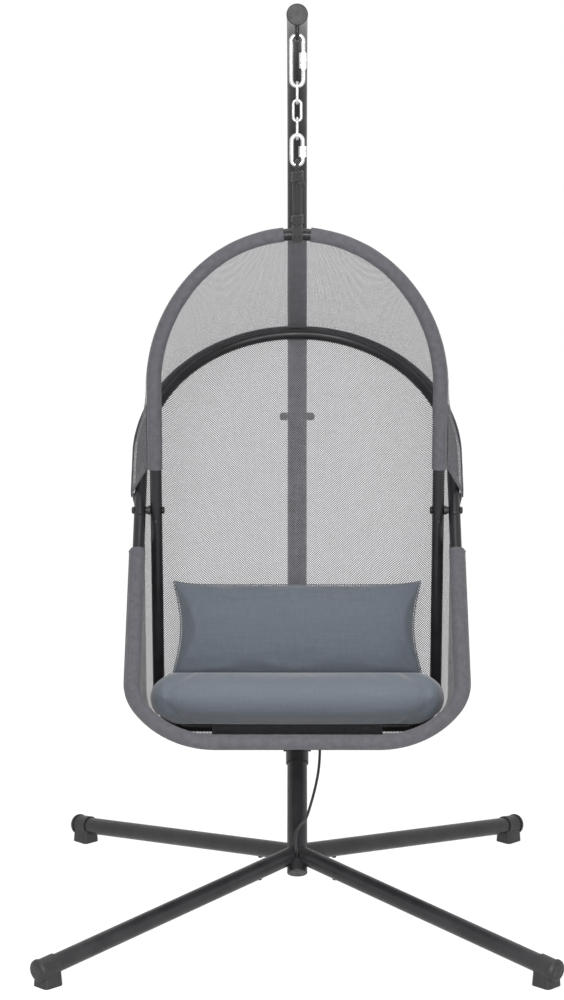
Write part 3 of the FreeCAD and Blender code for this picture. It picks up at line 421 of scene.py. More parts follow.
def make_floor():
    half = FLOOR_HALF
    near, far = [(-half, -half, 0), (half, -half, 0)], [(-half, half, 0), (half, half, 0)]
    floor = grid_mesh("floor", [near, far])
    mat = bpy.data.materials.new("floor_white")
    mat.use_nodes = True
    tree = mat.node_tree
    diffuse = tree.nodes["Principled BSDF"]
    diffuse.inputs["Base Color"].default_value = (FLOOR_WHITE, FLOOR_WHITE, FLOOR_WHITE, 1)
    diffuse.inputs["Roughness"].default_value = 0.9
    glow = tree.nodes.new("ShaderNodeEmission")
    glow.inputs["Strength"].default_value = FLOOR_GLOW
    share = tree.nodes.new("ShaderNodeMath")
    share.operation = "MULTIPLY"
    share.inputs[1].default_value = FLOOR_GLOW_SHARE
    mix = tree.nodes.new("ShaderNodeMixShader")
    tree.links.new(white_rays(tree), share.inputs[0])
    tree.links.new(share.outputs[0], mix.inputs[0])
    tree.links.new(diffuse.outputs[0], mix.inputs[1])
    tree.links.new(glow.outputs[0], mix.inputs[2])
    tree.links.new(mix.outputs[0], tree.nodes["Material Output"].inputs["Surface"])
    floor.data.materials.append(mat)


# Tubes of rope and cord

def spline_points(points, resolution=12):
    """Points along the smooth NURBS line through a route's control points."""
    data = bpy.data.curves.new("route", "CURVE")
    data.dimensions = "3D"
    data.resolution_u = resolution
    spline = data.splines.new("NURBS")
    spline.points.add(len(points) - 1)
    for control, point in zip(spline.points, points):
        control.co = (*point, 1)
    spline.order_u = 3
    spline.use_endpoint_u = True
    carrier = bpy.data.objects.new("route", data)
    bpy.context.scene.collection.objects.link(carrier)
    mesh = bpy.data.meshes.new_from_object(carrier)
    found = [v.co.copy() for v in mesh.vertices]
    bpy.data.objects.remove(carrier)
    bpy.data.meshes.remove(mesh)
    bpy.data.curves.remove(data)
    return found


def tube(name, points, radius, sides=16, closed=False):
    """A round tube along points, with its girth and length as UVs in metres and flat ends."""
    rows, uvs = [], []
    across = None
    length = 0.0
    count = len(points)
    for i, point in enumerate(points):
        before = points[i - 1] if i or closed else point
        after = points[(i + 1) % count] if i < count - 1 or closed else point
        run = (after - before).normalized()
        if across is None:
            across = run.orthogonal().normalized()
        across = (across - run * across.dot(run)).normalized()
        up = run.cross(across)
        if i:
            length += (point - points[i - 1]).length
        ring = []
        for j in range(sides):
            angle = tau * j / sides
            ring.append(point + (across * cos(angle) + up * sin(angle)) * radius)
            uvs.append((abs(j / sides - 0.5) * tau * radius, length))
        rows.append(ring)
    if closed:
        rows.append(rows[0])
        uvs += [(abs(j / sides - 0.5) * tau * radius, length) for j in range(sides)]
    else:
        for at_start in (True, False):
            point = points[0] if at_start else points[-1]
            cap = [point] * sides
            rows.insert(0, cap) if at_start else rows.append(cap)
        uvs = [uvs[0]] * sides + uvs + [uvs[-1]] * sides
    piece = grid_mesh(name, rows, True, uvs)
    merge(piece)
    return piece


def merge(piece):
    """Joins points that lie on each other."""
    work = bmesh.new()
    work.from_mesh(piece.data)
    bmesh.ops.remove_doubles(work, verts=work.verts, dist=1e-6)
    bmesh.ops.recalc_face_normals(work, faces=work.faces)
    work.to_mesh(piece.data)
    work.free()


def joined(name, parts):
    """Several meshes as one piece."""
    bpy.ops.object.select_all(action="DESELECT")
    for part in parts:
        part.select_set(True)
    bpy.context.view_layer.objects.active = parts[0]
    bpy.ops.object.join()
    parts[0].name = name
    return parts[0]


def make_tether():
    knot_low, knot_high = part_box("tether_knot")
    knot_y = (knot_low.y + knot_high.y) / 2
    route = [
        (0.050, knot_y, knot_low.z - 0.0003),
        (0.050, 0.087, 0.315),
        (0.046, 0.073, 0.280),
        (0.038, 0.053, 0.248),
        (0.028, 0.0324, 0.2173),
        (0.019, 0.0034, 0.1973),
        (0.008, -0.0176, 0.1933),
        (-0.004, -0.0416, 0.1803),
        (-0.004, -0.0446, 0.1563),
        (0, -0.0356, 0.1343),
    ]
    line = spline_points(route)
    piece = tube("tether", line, CORD_RADIUS, 14)
    finish_piece(piece, LOOKS["cord"], None, "black_rope", "tether_cord")
    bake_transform(piece, "stand", "hanger_link", start=(0, -0.036, 0.142), end=(0.050, knot_y, 0.345))


# The loops and the bag's lines

def loop_axes(lean):
    up = Vector((0, -sin(radians(lean)), cos(radians(lean))))
    back = Vector((0, cos(radians(lean)), sin(radians(lean))))
    return up, back


def on_loop(side, height, lean):
    return PIVOT + Vector((side, 0, 0)) + loop_axes(lean)[0] * height


def arc_samples(centre, start, end, count):
    """Points on the shorter arc between two points about a centre, in a plane."""
    radius = hypot(start[0] - centre[0], start[1] - centre[1])
    first = atan2(start[1] - centre[1], start[0] - centre[0])
    turn = atan2(end[1] - centre[1], end[0] - centre[0]) - first
    turn = (turn + pi) % tau - pi
    return [(centre[0] + radius * cos(first + turn * i / count),
             centre[1] + radius * sin(first + turn * i / count)) for i in range(count + 1)]


def half_loop(half, start, apex, width, rise, side_radius):
    """Evenly spaced points of a half loop in its plane, from its left end to its right end."""
    sign = 1 if apex > start else -1
    if width == rise == side_radius:
        crown, joint = side_radius, (side_radius * (1 - cos(pi / 4)), side_radius * sin(pi / 4))
    else:
        crown = rise ** 2 + (width - side_radius) ** 2 - side_radius ** 2
        crown /= 2 * (rise - side_radius)
        reach = Vector((width - side_radius, rise - crown)).normalized()
        reach *= -1 if side_radius < crown else 1
        joint = (side_radius + reach.x * side_radius, reach.y * side_radius)
    corner = arc_samples((side_radius, 0), (0, 0), joint, 48)
    corner += arc_samples((width, rise - crown), joint, (width, rise), 48)[1:]
    spring = apex - sign * rise
    left = [(-half, start)] + [(x - half, spring + sign * y) for x, y in corner]
    dense = left + [(-x, y) for x, y in reversed(left)]
    return evenly(dense, ALONG)


def evenly(points, count):
    """The same polyline with count evenly spaced points."""
    lengths = [0.0]
    for a, b in zip(points, points[1:]):
        lengths.append(lengths[-1] + hypot(b[0] - a[0], b[1] - a[1]))
    found, k = [], 0
    for i in range(count):
        want = lengths[-1] * i / (count - 1)
        while k < len(points) - 2 and lengths[k + 1] < want:
            k += 1
        gap = lengths[k + 1] - lengths[k]
        t = (want - lengths[k]) / gap if gap > 1e-12 else 0.0
        a, b = points[k], points[k + 1]
        found.append((a[0] + (b[0] - a[0]) * t, a[1] + (b[1] - a[1]) * t))
    return found


def outward_normal(start, end):
    run = (end - start).normalized()
    return Vector((0, -run.z, run.y))


def corner_offset(radius, first, second):
    return (first + second) * (radius / (1 + first.dot(second)))


class HalfLoop:
    """One half loop: its tube's centre line, and the line where the bag leaves it."""

    def __init__(self, lean, flat, at_crown, at_side):
        self.lean = lean
        self.up, self.back = loop_axes(lean)
        self.centres = [on_loop(x, y, lean) for x, y in flat]
        self.at_crown, self.at_side = at_crown, at_side
        self.outward = []
        for i, point in enumerate(self.centres):
            run = (self.centres[min(i + 1, ALONG - 1)] - self.centres[max(i - 1, 0)]).normalized()
            out = self.back.cross(run)
            if (point - PIVOT).dot(out) < 0:
                out = -out
            self.outward.append(out)

    def bag_line(self, grow=FABRIC / 2):
        lifted = abs(self.at_crown.dot(self.up))
        found = []
        for point, out in zip(self.centres, self.outward):
            share = abs(out.dot(self.up))
            reach = self.at_side + (lifted - self.at_side) * share + grow
            found.append(point + out * reach + self.back * (self.at_crown.dot(self.back) * share))
        return found


def make_loops():
    hoop, arch = on_loop(0, HOOD_RISE, INNER_LEAN), on_loop(0, ARCH_RISE, OUTER_LEAN)
    rear, front = on_loop(0, -REAR_DROP, INNER_LEAN), on_loop(0, -FRONT_DROP, OUTER_LEAN)
    over, behind = outward_normal(hoop, arch), outward_normal(arch, rear)
    under = outward_normal(rear, front)
    return {
        "hoop": HalfLoop(INNER_LEAN, half_loop(INNER_HALF, HEM_ON_HOOP, HOOD_RISE, INNER_HALF,
                                               HOOD_ARCH_RISE, HOOD_SIDE_RADIUS),
                         over * SLEEVED, SLEEVED * HOOP_SIDE),
        "arch": HalfLoop(OUTER_LEAN, half_loop(OUTER_HALF, HEM_ON_ARCH, ARCH_RISE, OUTER_HALF,
                                               OUTER_HALF, OUTER_HALF),
                         corner_offset(BARE, over, behind), BARE * ARCH_SIDE),
        "rear": HalfLoop(INNER_LEAN, half_loop(INNER_HALF, -HEM_ON_REAR, -REAR_DROP, REAR_CORNER,
                                               REAR_CORNER, REAR_CORNER),
                         corner_offset(SLEEVED, behind, under), SLEEVED + BAG_SIDE_GAP),
        "front": HalfLoop(OUTER_LEAN, half_loop(OUTER_HALF, -HEM_ON_FRONT, -FRONT_DROP,
                                                FRONT_CORNER_WIDTH, FRONT_CORNER_RISE,
                                                FRONT_SIDE_RADIUS),
                          under * SLEEVED, SLEEVED * FRONT_SIDE),
    }


def fold_with_loops(piece, inner_sign, outer_sign):
    """The piece turns with the fold by its share of the angle between the two loops' planes."""
    inner = loop_axes(INNER_LEAN)[0] * inner_sign
    outer = loop_axes(OUTER_LEAN)[0] * outer_sign
    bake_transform(piece, "chair", "seat_frame", start=PIVOT + inner * 0.5, end=PIVOT + outer * 0.5)
    weights = piece.data.attributes["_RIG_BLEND"].data
    spread = inner.angle(outer)
    turn = inner.cross(outer).x
    for vertex in piece.data.vertices:
        arm = Vector((0, vertex.co.y - PIVOT.y, vertex.co.z - PIVOT.z))
        if arm.length < 1e-4:
            continue
        angle = atan2(inner.cross(arm).x * (1 if turn > 0 else -1), inner.dot(arm))
        weights[vertex.index].value = min(max(angle / spread, 0.0), 1.0)


# Mesh cloth

def cloth_between(name, first, second, sag, seed, skip=None):
    """Open mesh stretched from one bag line to the next, with slight slack and wrinkles."""
    a, b = first.bag_line(), second.bag_line()
    outward = outward_normal(a[ALONG // 2], b[ALONG // 2])
    middle = [(p + q) / 2 for p, q in zip(a, b)]
    along = [0.0]
    for p, q in zip(middle, middle[1:]):
        along.append(along[-1] + (q - p).length)
    rows, uvs = [], []
    for i in range(ALONG):
        row = []
        width = (b[i] - a[i]).length
        side = (middle[min(i + 1, ALONG - 1)] - middle[max(i - 1, 0)]).normalized()
        normal = side.cross((b[i] - a[i]).normalized()).normalized()
        if normal.dot(outward) < 0:
            normal = -normal
        for j in range(DEEP):
            t = j / (DEEP - 1)
            point = a[i].lerp(b[i], t)
            slack = 4 * t * (1 - t)
            crease = ripple((along[i] * 1.0, t * 0.6, 0), 14, seed) * 0.0007 * slack
            row.append(point - normal * (sag * slack * min(1, width / 0.3)) + normal * crease)
            uvs.append((along[i], (t - 0.5) * width))
        rows.append(row)
    piece = grid_mesh(name, rows, False, uvs)
    if skip:
        cut_faces(piece, skip)
    return piece, along[-1], max((q - p).length for p, q in zip(a, b))


def cut_faces(piece, unwanted):
    """Drops the faces whose middle lies in a space."""
    work = bmesh.new()
    work.from_mesh(piece.data)
    gone = [f for f in work.faces if unwanted(f.calc_center_median())]
    bmesh.ops.delete(work, geom=gone, context="FACES")
    work.to_mesh(piece.data)
    work.free()


def make_mesh_cloth(loops):
    crown = on_loop(0, HOOD_RISE, INNER_LEAN)

    def in_notch(point):
        return abs(point.x) < ROPE_NOTCH_HALF and (point - crown).length < NOTCH_REACH

    panels = (
        ("hood_mesh", "hoop", "arch", HOOD_SAG, "hood_panel", (1, 1), in_notch),
        ("back_mesh", "arch", "rear", BACK_SAG, "back_panel", (-1, 1), None),
        ("seat_mesh", "rear", "front", SEAT_SAG, "seat_sling", (-1, -1), None))
    for seed, (name, first, second, sag, node, signs, skip) in enumerate(panels, 1):
        piece, width, depth = cloth_between(name, loops[first], loops[second], sag, seed, skip)
        look = LOOKS["close_mesh_painted_shade" if name == "seat_mesh" else "mesh"]
        finish_piece(piece, look, None, "grey_mesh", node)
        fold_with_loops(piece, *signs)


# Sleeves and hems

def sleeve_section(radius, tail, steps=26):
    """Outline of a sleeve: (toward the cloth, outward) pairs round the tube, then a flat hem."""
    outline = []
    for i in range(steps + 1):
        angle = i / steps * radians(290)
        outline.append((-sin(angle) * radius, cos(angle) * radius))
    ply = 0.0014
    outline += [(radius + 0.0015, radius - 0.0042), (radius + 0.0035, radius - 2 * ply),
                (radius + tail, radius - 2 * ply), (radius + tail + 0.0008, radius - ply),
                (radius + tail, radius), (radius * 0.6, radius), (radius * 0.3, radius)]
    return outline


def sleeve_along(name, loop, partner, first, last, radius, tail, seed):
    """A sleeve sewn round a loop's tube, with its hem lying along the cloth."""
    outline = sleeve_section(radius, tail)
    girth = [0.0]
    for p, q in zip(outline, outline[1:]):
        girth.append(girth[-1] + hypot(q[0] - p[0], q[1] - p[1]))
    own, other = loop.bag_line(0), partner.bag_line(0)
    rows, uvs = [], []
    length = 0.0
    for i in range(first, last + 1):
        centre = loop.centres[i]
        run = (loop.centres[min(i + 1, ALONG - 1)] - loop.centres[max(i - 1, 0)]).normalized()
        out = own[i] - centre
        out = (out - run * out.dot(run)).normalized()
        toward = run.cross(out)
        if toward.dot(other[i] - own[i]) < 0:
            toward = -toward
        if i > first:
            length += (centre - loop.centres[i - 1]).length
        lift = min((own[i] - centre).length - radius, 0.012)
        row = []
        for k, (side, rise) in enumerate(outline):
            on_hem = side > radius
            pucker = ripple((length, girth[k] * 2.2, 0), 45, seed) * 0.0006
            pucker += ripple((length, girth[k] * 0.8, 1), 12, seed + 9) * 0.0005
            swell = 1 + (0 if on_hem else pucker / radius)
            height = rise * swell + (lift if rise > radius * 0.5 else 0)
            height += pucker * 0.7 if on_hem else 0
            row.append(centre + toward * side * swell + out * height)
            uvs.append((girth[k], length))
        rows.append(row)
    piece = grid_mesh(name, rows, True, uvs)
    return piece


def stitches(name, loop, partner, first, last, offset, gap=0.0052):
    """A row of lock stitches along a sleeve's hem, as small raised loops of thread."""
    own, other = loop.bag_line(0.0004), partner.bag_line(0.0004)
    points = []
    for i in range(first, last + 1):
        toward = (other[i] - own[i]).normalized()
        points.append(own[i] + toward * offset)
    verts, faces = [], []
    travelled, next_at = 0.0, 0.0
    for i, (p, q) in enumerate(zip(points, points[1:])):
        step = (q - p).length
        while next_at < travelled + step:
            t = (next_at - travelled) / step
            centre = p.lerp(q, t)
            run = (q - p).normalized()
            toward = (other[first + i] - own[first + i]).normalized()
            up = run.cross(toward).normalized()
            up = up if up.dot(own[first + i] - loop.centres[first + i]) > 0 else -up
            base = len(verts)
            for a, w, h in ((-0.0017, 0.0002, 0), (-0.0008, 0.0004, 0.0004),
                            (0.0008, 0.0004, 0.0004), (0.0017, 0.0002, 0)):
                for s in (-1, 1):
                    verts.append(centre + run * a + toward * (s * w) + up * (h - 0.0002))
                verts.append(centre + run * a + up * (h + 0.0002))
            for k in range(3):
                o, n = base + 3 * k, base + 3 * k + 3
                faces += [(o, n, n + 2, o + 2), (o + 2, n + 2, n + 1, o + 1), (o + 1, n + 1, n, o)]
            next_at += gap
        travelled += step
    mesh = bpy.data.meshes.new(name)
    mesh.from_pydata([tuple(v) for v in verts], [], faces)
    mesh.polygons.foreach_set("use_smooth", [True] * len(mesh.polygons))
    piece = bpy.data.objects.new(name, mesh)
    bpy.context.scene.collection.objects.link(piece)
    return piece


def nearest(loop, test):
    """First and last sample of a loop that pass a test."""
    found = [i for i in range(ALONG) if test(loop.centres[i])]
    return found[0], found[-1]


def make_sleeves(loops):
    hoop, arch, rear, front = (loops[n] for n in ("hoop", "arch", "rear", "front"))
    top = [i for i in range(ALONG) if abs(hoop.centres[i].x) > ROPE_NOTCH_HALF]
    left = max(i for i in top if hoop.centres[i].x < 0)
    right = min(i for i in top if hoop.centres[i].x > 0)
    parts = [sleeve_along("hood_sleeve_left", hoop, arch, 0, left,
                          SLEEVE_RADIUS, HOOD_HEM, 1),
             sleeve_along("hood_sleeve_right", hoop, arch, right, ALONG - 1,
                          SLEEVE_RADIUS, HOOD_HEM, 2)]
    piece = joined("hood_hem_sleeve", parts)
    finish_piece(piece, LOOKS["binding"], "chair", "grey_binding", "hood_sleeve")
    piece = sleeve_along("seat_hem_sleeve", front, rear, 0, ALONG - 1,
                         FRONT_SLEEVE_RADIUS, FRONT_HEM, 3)
    finish_piece(piece, LOOKS["binding"], "seat_frame", "grey_binding", "front_sleeve")
    first, last = nearest(rear, lambda p: abs(p.x) < REAR_SLEEVE_HALF and p.z < 0.5)
    piece = sleeve_along("rear_bar_sleeve", rear, front, first, last,
                         SLEEVE_RADIUS, REAR_HEM, 4)
    finish_piece(piece, LOOKS["binding"], "chair", "grey_binding", "rear_sleeve")
    rows = [stitches("stitch_a", hoop, arch, 0, left, HOOD_STITCH),
            stitches("stitch_b", hoop, arch, right, ALONG - 1, HOOD_STITCH)]
    finish_piece(joined("hood_hem_stitches", rows), LOOKS["thread"], "chair", "grey_binding")
    row = stitches("seat_hem_stitches", front, rear, 0, ALONG - 1, FRONT_STITCH)
    finish_piece(row, LOOKS["thread"], "seat_frame", "grey_binding")


def tape(name, line, sides, normals, width, thickness, seed):
    """A folded binding tape along a cloth edge."""
    half = thickness / 2
    end, turn, middle = width / 2, width / 2 - half, half * 1.1
    outline = [(-end, 0), (-turn, half), (0, middle), (turn, half),
               (end, 0), (turn, -half), (0, -middle), (-turn, -half)]
    girth = [0.0]
    for p, q in zip(outline, outline[1:]):
        girth.append(girth[-1] + hypot(q[0] - p[0], q[1] - p[1]))
    rows, uvs = [], []
    length = 0.0
    for i, (point, side, normal) in enumerate(zip(line, sides, normals)):
        if i:
            length += (point - line[i - 1]).length
        wave = ripple((length, 0, 0), 40, seed) * 0.0004
        rows.append([point + side * a + normal * (b + wave) for a, b in outline])
        uvs += [(g, length) for g in girth]
    piece = grid_mesh(name, rows, True, uvs)
    return piece


def end_hem(name, first, second, index, seed):
    """Binding on the bag's side edge between two loops."""
    a, b = first.bag_line(), second.bag_line()
    inner = 1 if index == 0 else index - 1
    line, sides, normals = [], [], []
    steps = 30
    for k in range(steps + 1):
        t = k / steps
        point = a[index].lerp(b[index], t)
        into = (a[inner].lerp(b[inner], t) - point).normalized()
        run = (b[index] - a[index]).normalized()
        into = (into - run * into.dot(run)).normalized()
        line.append(point + into * SIDE_HEM_INSET)
        sides.append(into)
        normals.append(run.cross(into).normalized())
    return tape(name, line, sides, normals, SIDE_HEM_WIDTH, SIDE_HEM_THICKNESS, seed)


def make_hems(loops):
    hoop, arch, rear, front = (loops[n] for n in ("hoop", "arch", "rear", "front"))
    for name, a, b, signs in (("hood_side_hem", hoop, arch, (1, 1)),
                              ("back_side_hem", arch, rear, (-1, 1)),
                              ("seat_side_hem", rear, front, (-1, -1))):
        parts = [end_hem(name + "_l", a, b, 0, 5), end_hem(name + "_r", a, b, ALONG - 1, 6)]
        piece = joined(name, parts)
        finish_piece(piece, LOOKS["binding"], None, "grey_binding")
        fold_with_loops(piece, *signs)
    line = arch.bag_line(0.0022)
    sides, normals = [], []
    over, behind = hoop.bag_line(), rear.bag_line()
    for i, point in enumerate(line):
        side = (behind[i] - point).normalized() - (over[i] - point).normalized()
        side.normalize()
        out = (point - arch.centres[i]).normalized()
        sides.append((side - out * side.dot(out)).normalized())
        normals.append(out)
    piece = tape("arch_seam_tape", line, sides, normals, SEAM_TAPE_WIDTH, SEAM_TAPE_THICKNESS, 7)
    finish_piece(piece, LOOKS["binding"], "seat_frame", "grey_binding")


# Rope

def ring_points(centre, first, second, radius, turns=1.0, drift=None, count=40):
    """Points on a ring or helix about a centre."""
    total = max(int(count * turns), 8)
    found = []
    for i in range(total + (0 if drift is None else 1)):
        angle = tau * turns * i / total
        point = centre + (first * cos(angle) + second * sin(angle)) * radius
        if drift is not None:
            point = point + drift * (i / total - 0.5)
        found.append(point)
    return found


def make_hanging_rope():
    """Rope from the lower link round the hoop: three falls, three turns and two wrapped knots."""
    link_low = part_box("lower_quick_link")[0]
    radius = ROPE_RADIUS
    x_axis, y_axis, z_axis = Vector((1, 0, 0)), Vector((0, 1, 0)), Vector((0, 0, 1))
    bar = Vector((0, -HANGER_FRONT, link_low.z + 0.00425))
    hoop = on_loop(0, HOOD_RISE, INNER_LEAN)
    down = (hoop - bar).normalized()
    side = down.cross(x_axis).normalized()
    upper = bar + down * 0.0195
    lower = hoop - down * 0.0285
    parts = [tube("rope_eye", ring_points(bar, y_axis, z_axis, 0.0085), radius, 14, True)]
    second_eye = ring_points(bar + x_axis * 0.0005, y_axis, z_axis, 0.0087)
    parts.append(tube("rope_eye_b", second_eye, radius * 0.9, 14, True))
    for k in (-1, 0, 1):
        shift = x_axis * (k * ROPE_SPACING)
        bow = side * (0.0012 * k) + x_axis * (k * 0.0012)
        fall = spline_points([upper + shift * 0.7, upper.lerp(lower, 0.3) + shift + bow,
                              upper.lerp(lower, 0.7) + shift - bow, lower + shift * 0.8])
        parts.append(tube("rope_fall_%d" % (k + 2), fall, radius, 14))
        turn = ring_points(hoop + shift * 1.12, side, down, 0.0172)
        parts.append(tube("rope_turn_%d" % (k + 2), turn, radius, 14, True))
    for name, centre, wide, turns in (("rope_knot_a", upper + down * 0.006, 0.0096, 3.2),
                                      ("rope_knot_b", lower - down * 0.002, 0.0092, 2.4)):
        coil = ring_points(centre, x_axis, side, wide, turns, down * (0.0068 * turns))
        parts.append(tube(name, coil, radius, 14))
    tail = spline_points([upper + x_axis * 0.006 + side * 0.006,
                          upper + x_axis * 0.012 + side * 0.004 + down * 0.008,
                          upper + x_axis * 0.0115 + down * 0.022 + side * 0.003])
    parts.append(tube("rope_tail", tail, radius * 0.95, 12))
    piece = joined("suspension_rope", parts)
    finish_piece(piece, LOOKS["rope"], "chair", "black_rope", "hanging_rope")


# Cushions

def pad_blank(name, centre, axes, half, outline, profile, across, deep):
    """A closed pad of two faces that share a seam: half sizes, outline and thickness shapes.

    outline(u, v) gives the plan position for a place in the square -1 to 1, and
    profile(u, v) the share of the half thickness there.
    """
    ax, ay, az = axes
    verts, faces = [], []
    index = {}
    for side in (1, -1):
        for i in range(across + 1):
            for j in range(deep + 1):
                rim = i in (0, across) or j in (0, deep)
                key = (i, j, 0 if rim else side)
                if key in index:
                    continue
                u, v = 2 * i / across - 1, 2 * j / deep - 1
                x, y = outline(u, v)
                rise = 0 if rim else side * profile(u, v)
                index[key] = len(verts)
                place = centre + ax * (x * half[0]) + ay * (y * half[1])
                verts.append(place + az * (rise * half[2]))
    for side in (1, -1):
        for i in range(across):
            for j in range(deep):
                ring = []
                for a, b in ((i, j), (i + 1, j), (i + 1, j + 1), (i, j + 1)):
                    rim = a in (0, across) or b in (0, deep)
                    ring.append(index[(a, b, 0 if rim else side)])
                faces.append(ring if side > 0 else ring[::-1])
    mesh = bpy.data.meshes.new(name)
    mesh.from_pydata([tuple(v) for v in verts], [], faces)
    mesh.polygons.foreach_set("use_smooth", [True] * len(mesh.polygons))
    piece = bpy.data.objects.new(name, mesh)
    bpy.context.scene.collection.objects.link(piece)
    rims = [n for key, n in index.items() if key[2] == 0]
    order = seam_order(across, deep)
    return piece, rims, [index[(i, j, 0)] for i, j in order]


def seam_order(across, deep):
    """The rim's grid places in order round the pad."""
    ring = [(i, 0) for i in range(across)] + [(across, j) for j in range(deep)]
    return ring + [(i, deep) for i in range(across, 0, -1)] + [(0, j) for j in range(deep, 0, -1)]


def inflate(piece, rims, centre, axes, limits, cap, growth, easing, soft_rim):
    """Cloth with air pressure: the pad fills and its skin wrinkles against the held seam."""
    before = [v.co.copy() for v in piece.data.vertices]
    group = piece.vertex_groups.new(name="seam")
    group.add(rims, 0.85, "REPLACE")
    mod = piece.modifiers.new("fill", "CLOTH")
    cloth = mod.settings
    cloth.quality = 6
    cloth.mass = 0.3
    cloth.tension_stiffness = 18
    cloth.compression_stiffness = 12
    cloth.shear_stiffness = 6
    cloth.bending_stiffness = 0.6
    cloth.use_pressure = True
    cloth.uniform_pressure_force = FILL_PRESSURE
    cloth.shrink_min = -growth
    cloth.vertex_group_mass = "seam"
    cloth.effector_weights.gravity = 0
    scene = bpy.context.scene
    for number in range(1, FILL_FRAMES + 1):
        scene.frame_set(number)
    graph = bpy.context.evaluated_depsgraph_get()
    moved = [v.co.copy() for v in piece.evaluated_get(graph).data.vertices]
    piece.modifiers.remove(mod)
    scene.frame_set(1)
    for vertex, old, new in zip(piece.data.vertices, before, moved):
        step = new - old
        if step.length > cap:
            step *= cap / step.length
        vertex.co = kept_within(old + step, centre, axes, limits)
    work = bmesh.new()
    work.from_mesh(piece.data)
    held = set() if soft_rim else set(rims)
    loose = [v for v in work.verts if v.index not in held]
    for number in range(easing):
        bmesh.ops.smooth_vert(work, verts=loose, factor=0.5,
                              use_axis_x=True, use_axis_y=True, use_axis_z=True)
    work.to_mesh(piece.data)
    work.free()


def kept_within(point, centre, axes, limits):
    """A point held between low and high limits along each of a pad's axes."""
    arm = point - centre
    kept = centre.copy()
    for axis, (low, high) in zip(axes, limits):
        kept += axis * min(max(arm.dot(axis), low), high)
    return kept


def subdivided(piece, levels=1):
    mod = piece.modifiers.new("smooth", "SUBSURF")
    mod.levels = mod.render_levels = levels
    graph = bpy.context.evaluated_depsgraph_get()
    mesh = bpy.data.meshes.new_from_object(piece.evaluated_get(graph))
    piece.modifiers.remove(mod)
    piece.data = mesh
    mesh.polygons.foreach_set("use_smooth", [True] * len(mesh.polygons))


def rolled(distance, radius):
    """Share of the full height at a distance in from a quarter-round edge."""
    inward = 1 - min(max(distance, 0.0) / radius, 1.0)
    return sqrt(1 - inward * inward)


def squircle(u, v, power):
    """Maps the square to a rounded rectangle of the same reach."""
    most = max(abs(u), abs(v))
    if most < 1e-6:
        return u, v
    x, y = u / most, v / most
    norm = (abs(x) ** power + abs(y) ** power) ** (1 / power)
    return u / norm, v / norm


def make_seat_cushion():
    low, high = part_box("seat_cushion")
    centre = (low + high) / 2
    tilt = radians(SEAT_TILT)
    axes = (Vector((1, 0, 0)), Vector((0, cos(tilt), -sin(tilt))),
            Vector((0, sin(tilt), cos(tilt))))
    half = [s / 2 for s in SEAT_SIZE]

    def outline(u, v):
        return squircle(u, v, 6.0)

    def profile(u, v):
        edge = rolled((1 - abs(u)) * half[0], SEAT_ROLL_SIDE)
        edge *= rolled((1 - abs(v)) * half[1], SEAT_ROLL_FRONT)
        crown = 0.97 + 0.03 * (1 - u * u) * (1 - v * v)
        return edge * crown

    piece, rims, _ = pad_blank("seat_pad", centre + axes[2] * SEAT_LIFT, axes,
                                  (half[0] - 0.002, half[1] - 0.004, half[2]),
                                  outline, profile, 112, 66)
    limits = ((-half[0], half[0]), (-half[1], half[1]), (-half[2] + 0.0005, half[2] + 0.009))
    inflate(piece, rims, centre, axes, limits, 0.006, 0.012, 3, True)
    subdivided(piece)
    finish_piece(piece, LOOKS["cushion"], None, "cushion_cloth", "seat_cushion")
    fold_with_loops(piece, -1, -1)


def make_pillow(loops):
    low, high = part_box("head_pillow")
    centre = (low + high) / 2
    foot, arch = loops["rear"].bag_line(0)[ALONG // 2], loops["arch"].bag_line(0)[ALONG // 2]
    climb = (arch - foot).normalized()
    back = Vector((0, climb.z, -climb.y))
    axes = (Vector((1, 0, 0)), climb, back)
    half = [s / 2 for s in PILLOW_SIZE]

    def outline(u, v):
        pull_x = 0.060 * (1 - v * v) ** 1.3
        pull_y = 0.085 * (1 - abs(u) ** 9) if v > 0 else 0.0
        return u * (1 - pull_x * abs(u) ** 3), v * (1 - pull_y * abs(v) ** 3)

    def profile(u, v):
        full = rolled((1 - abs(u)) * half[0], PILLOW_ROLL) * (1 - abs(v) ** 2.4) ** 0.55 * 0.92
        tucks = sum(exp(-((u - at) / 0.035) ** 2) for at in (-0.17, -0.02, 0.10))
        return full - 0.10 * tucks * exp(-((v + 0.72) / 0.22) ** 2)

    piece, rims, seam = pad_blank("back_pillow", centre + climb * PILLOW_LIFT, axes,
                                  (half[0] - 0.001, half[1], half[2] - 0.004),
                                  outline, profile, 96, 40)
    limits = ((-half[0], half[0]), (-half[1], half[1] + PILLOW_LIFT), (-half[2], half[2]))
    inflate(piece, rims, centre, axes, limits, 0.008, 0.015, 3, False)
    piping("back_pillow_seam", piece, seam, 0.0013)
    subdivided(piece)
    finish_piece(piece, LOOKS["cushion"], "chair", "cushion_cloth", "head_pillow")


def piping(name, pad, seam, radius):
    """A thin sewn edge that follows a pad's seam."""
    points = [pad.data.vertices[n].co.copy() for n in seam]
    piece = tube(name, points, radius, 8, True)
    finish_piece(piece, LOOKS["piping"], "chair", "cushion_cloth")


# CAD pieces that stay

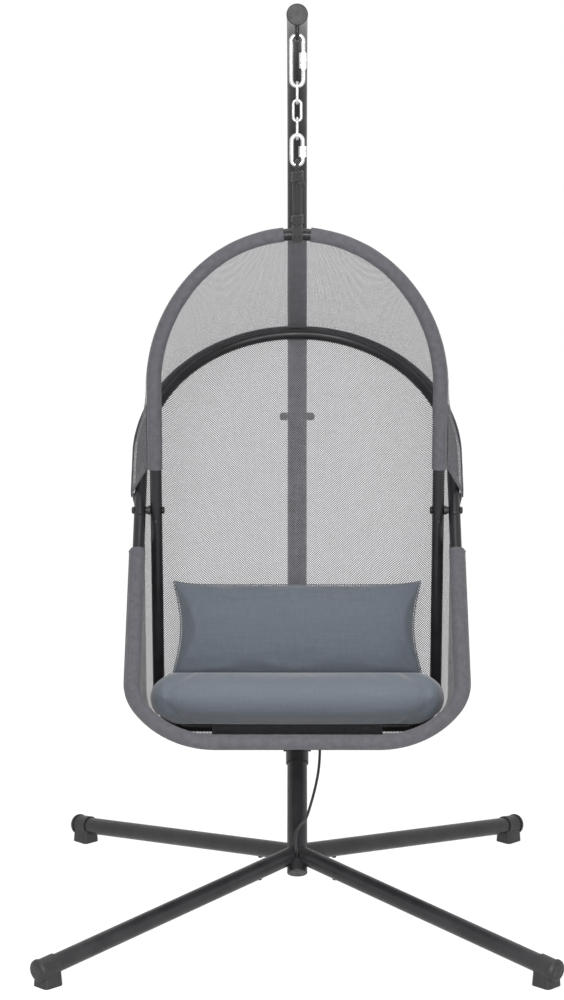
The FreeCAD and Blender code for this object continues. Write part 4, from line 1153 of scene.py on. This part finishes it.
KEPT = {
    "pole": ("hub_post", "pole_middle_section", "pole_upper_section", "leg_rear_right",
             "leg_rear_left", "leg_front_left", "leg_front_right"),
    "loop": ("hood_hoop", "rear_seat_tube", "back_arch", "front_seat_tube"),
    "plastic": ("hub_plug", "boom_cap", "pole_bolt_caps", "foot_rear_right", "foot_rear_left",
                "foot_front_left", "foot_front_right", "pivot_spacers", "pivot_cap_nuts",
                "inner_loop_buttons", "outer_loop_buttons"),
    "steel": ("upper_quick_link", "lower_quick_link", "upper_link_nut", "lower_link_nut",
              "chain_link_1", "chain_link_2", "chain_link_3"),
    "fastener": ("pole_lower_bolt", "pole_joint_bolt", "leg_screws", "pivot_bolts", "boom_eye",
                 "tether_anchor"),
    "cord": ("tether_knot",),
}


def dress_kept_nodes():
    for look, names in KEPT.items():
        for name in names:
            node = nodes[name]
            if not node.material_slots:
                node.data.materials.append(LOOKS[look])
            for place in node.material_slots:
                place.material = LOOKS[look]


LOOKS = {
    "pole": powder_coat("pole_coat", 44, (0, 0, 2), 0.40),
    "loop": powder_coat("loop_coat", 28, (1, 0, 3), 0.36),
    "plastic": moulded_plastic("moulded_black", 34, 0.50),
    "steel": plated_steel(),
    "fastener": powder_coat("fastener_black", 30, (0, 0, 1), 0.40),
    "rope": braided_rope("rope_braid", 25, 0.0046),
    "cord": braided_rope("cord_braid", 24, 0.0030),
    "mesh": open_mesh("sling_mesh", 116, 0.08, 0.22),
    # The seat sling mesh is more closed, and its grey of 98 against the other mesh's 116 is painted shade on
    # the seat panel seen edge-on.
    "close_mesh_painted_shade": open_mesh("seat_sling_mesh_painted_shade", 98, 0.60, 0.74),
    "binding": close_weave("sleeve_weave", 88, (0, -1, 5), 0.0030, (1, 1, 1)),
    "cushion": cushion_cloth(),
    "piping": thread("piping_thread", 96, (-1, 5, 12)),
    "thread": thread("hem_thread", 108, (0, -1, 4)),
}

make_camera()
make_tether()
make_surroundings()
make_floor()
bag = make_loops()
make_mesh_cloth(bag)
make_sleeves(bag)
make_hems(bag)
make_hanging_rope()
make_seat_cushion()
make_pillow(bag)
dress_kept_nodes()

bpy.context.scene.view_settings.view_transform = "Standard"
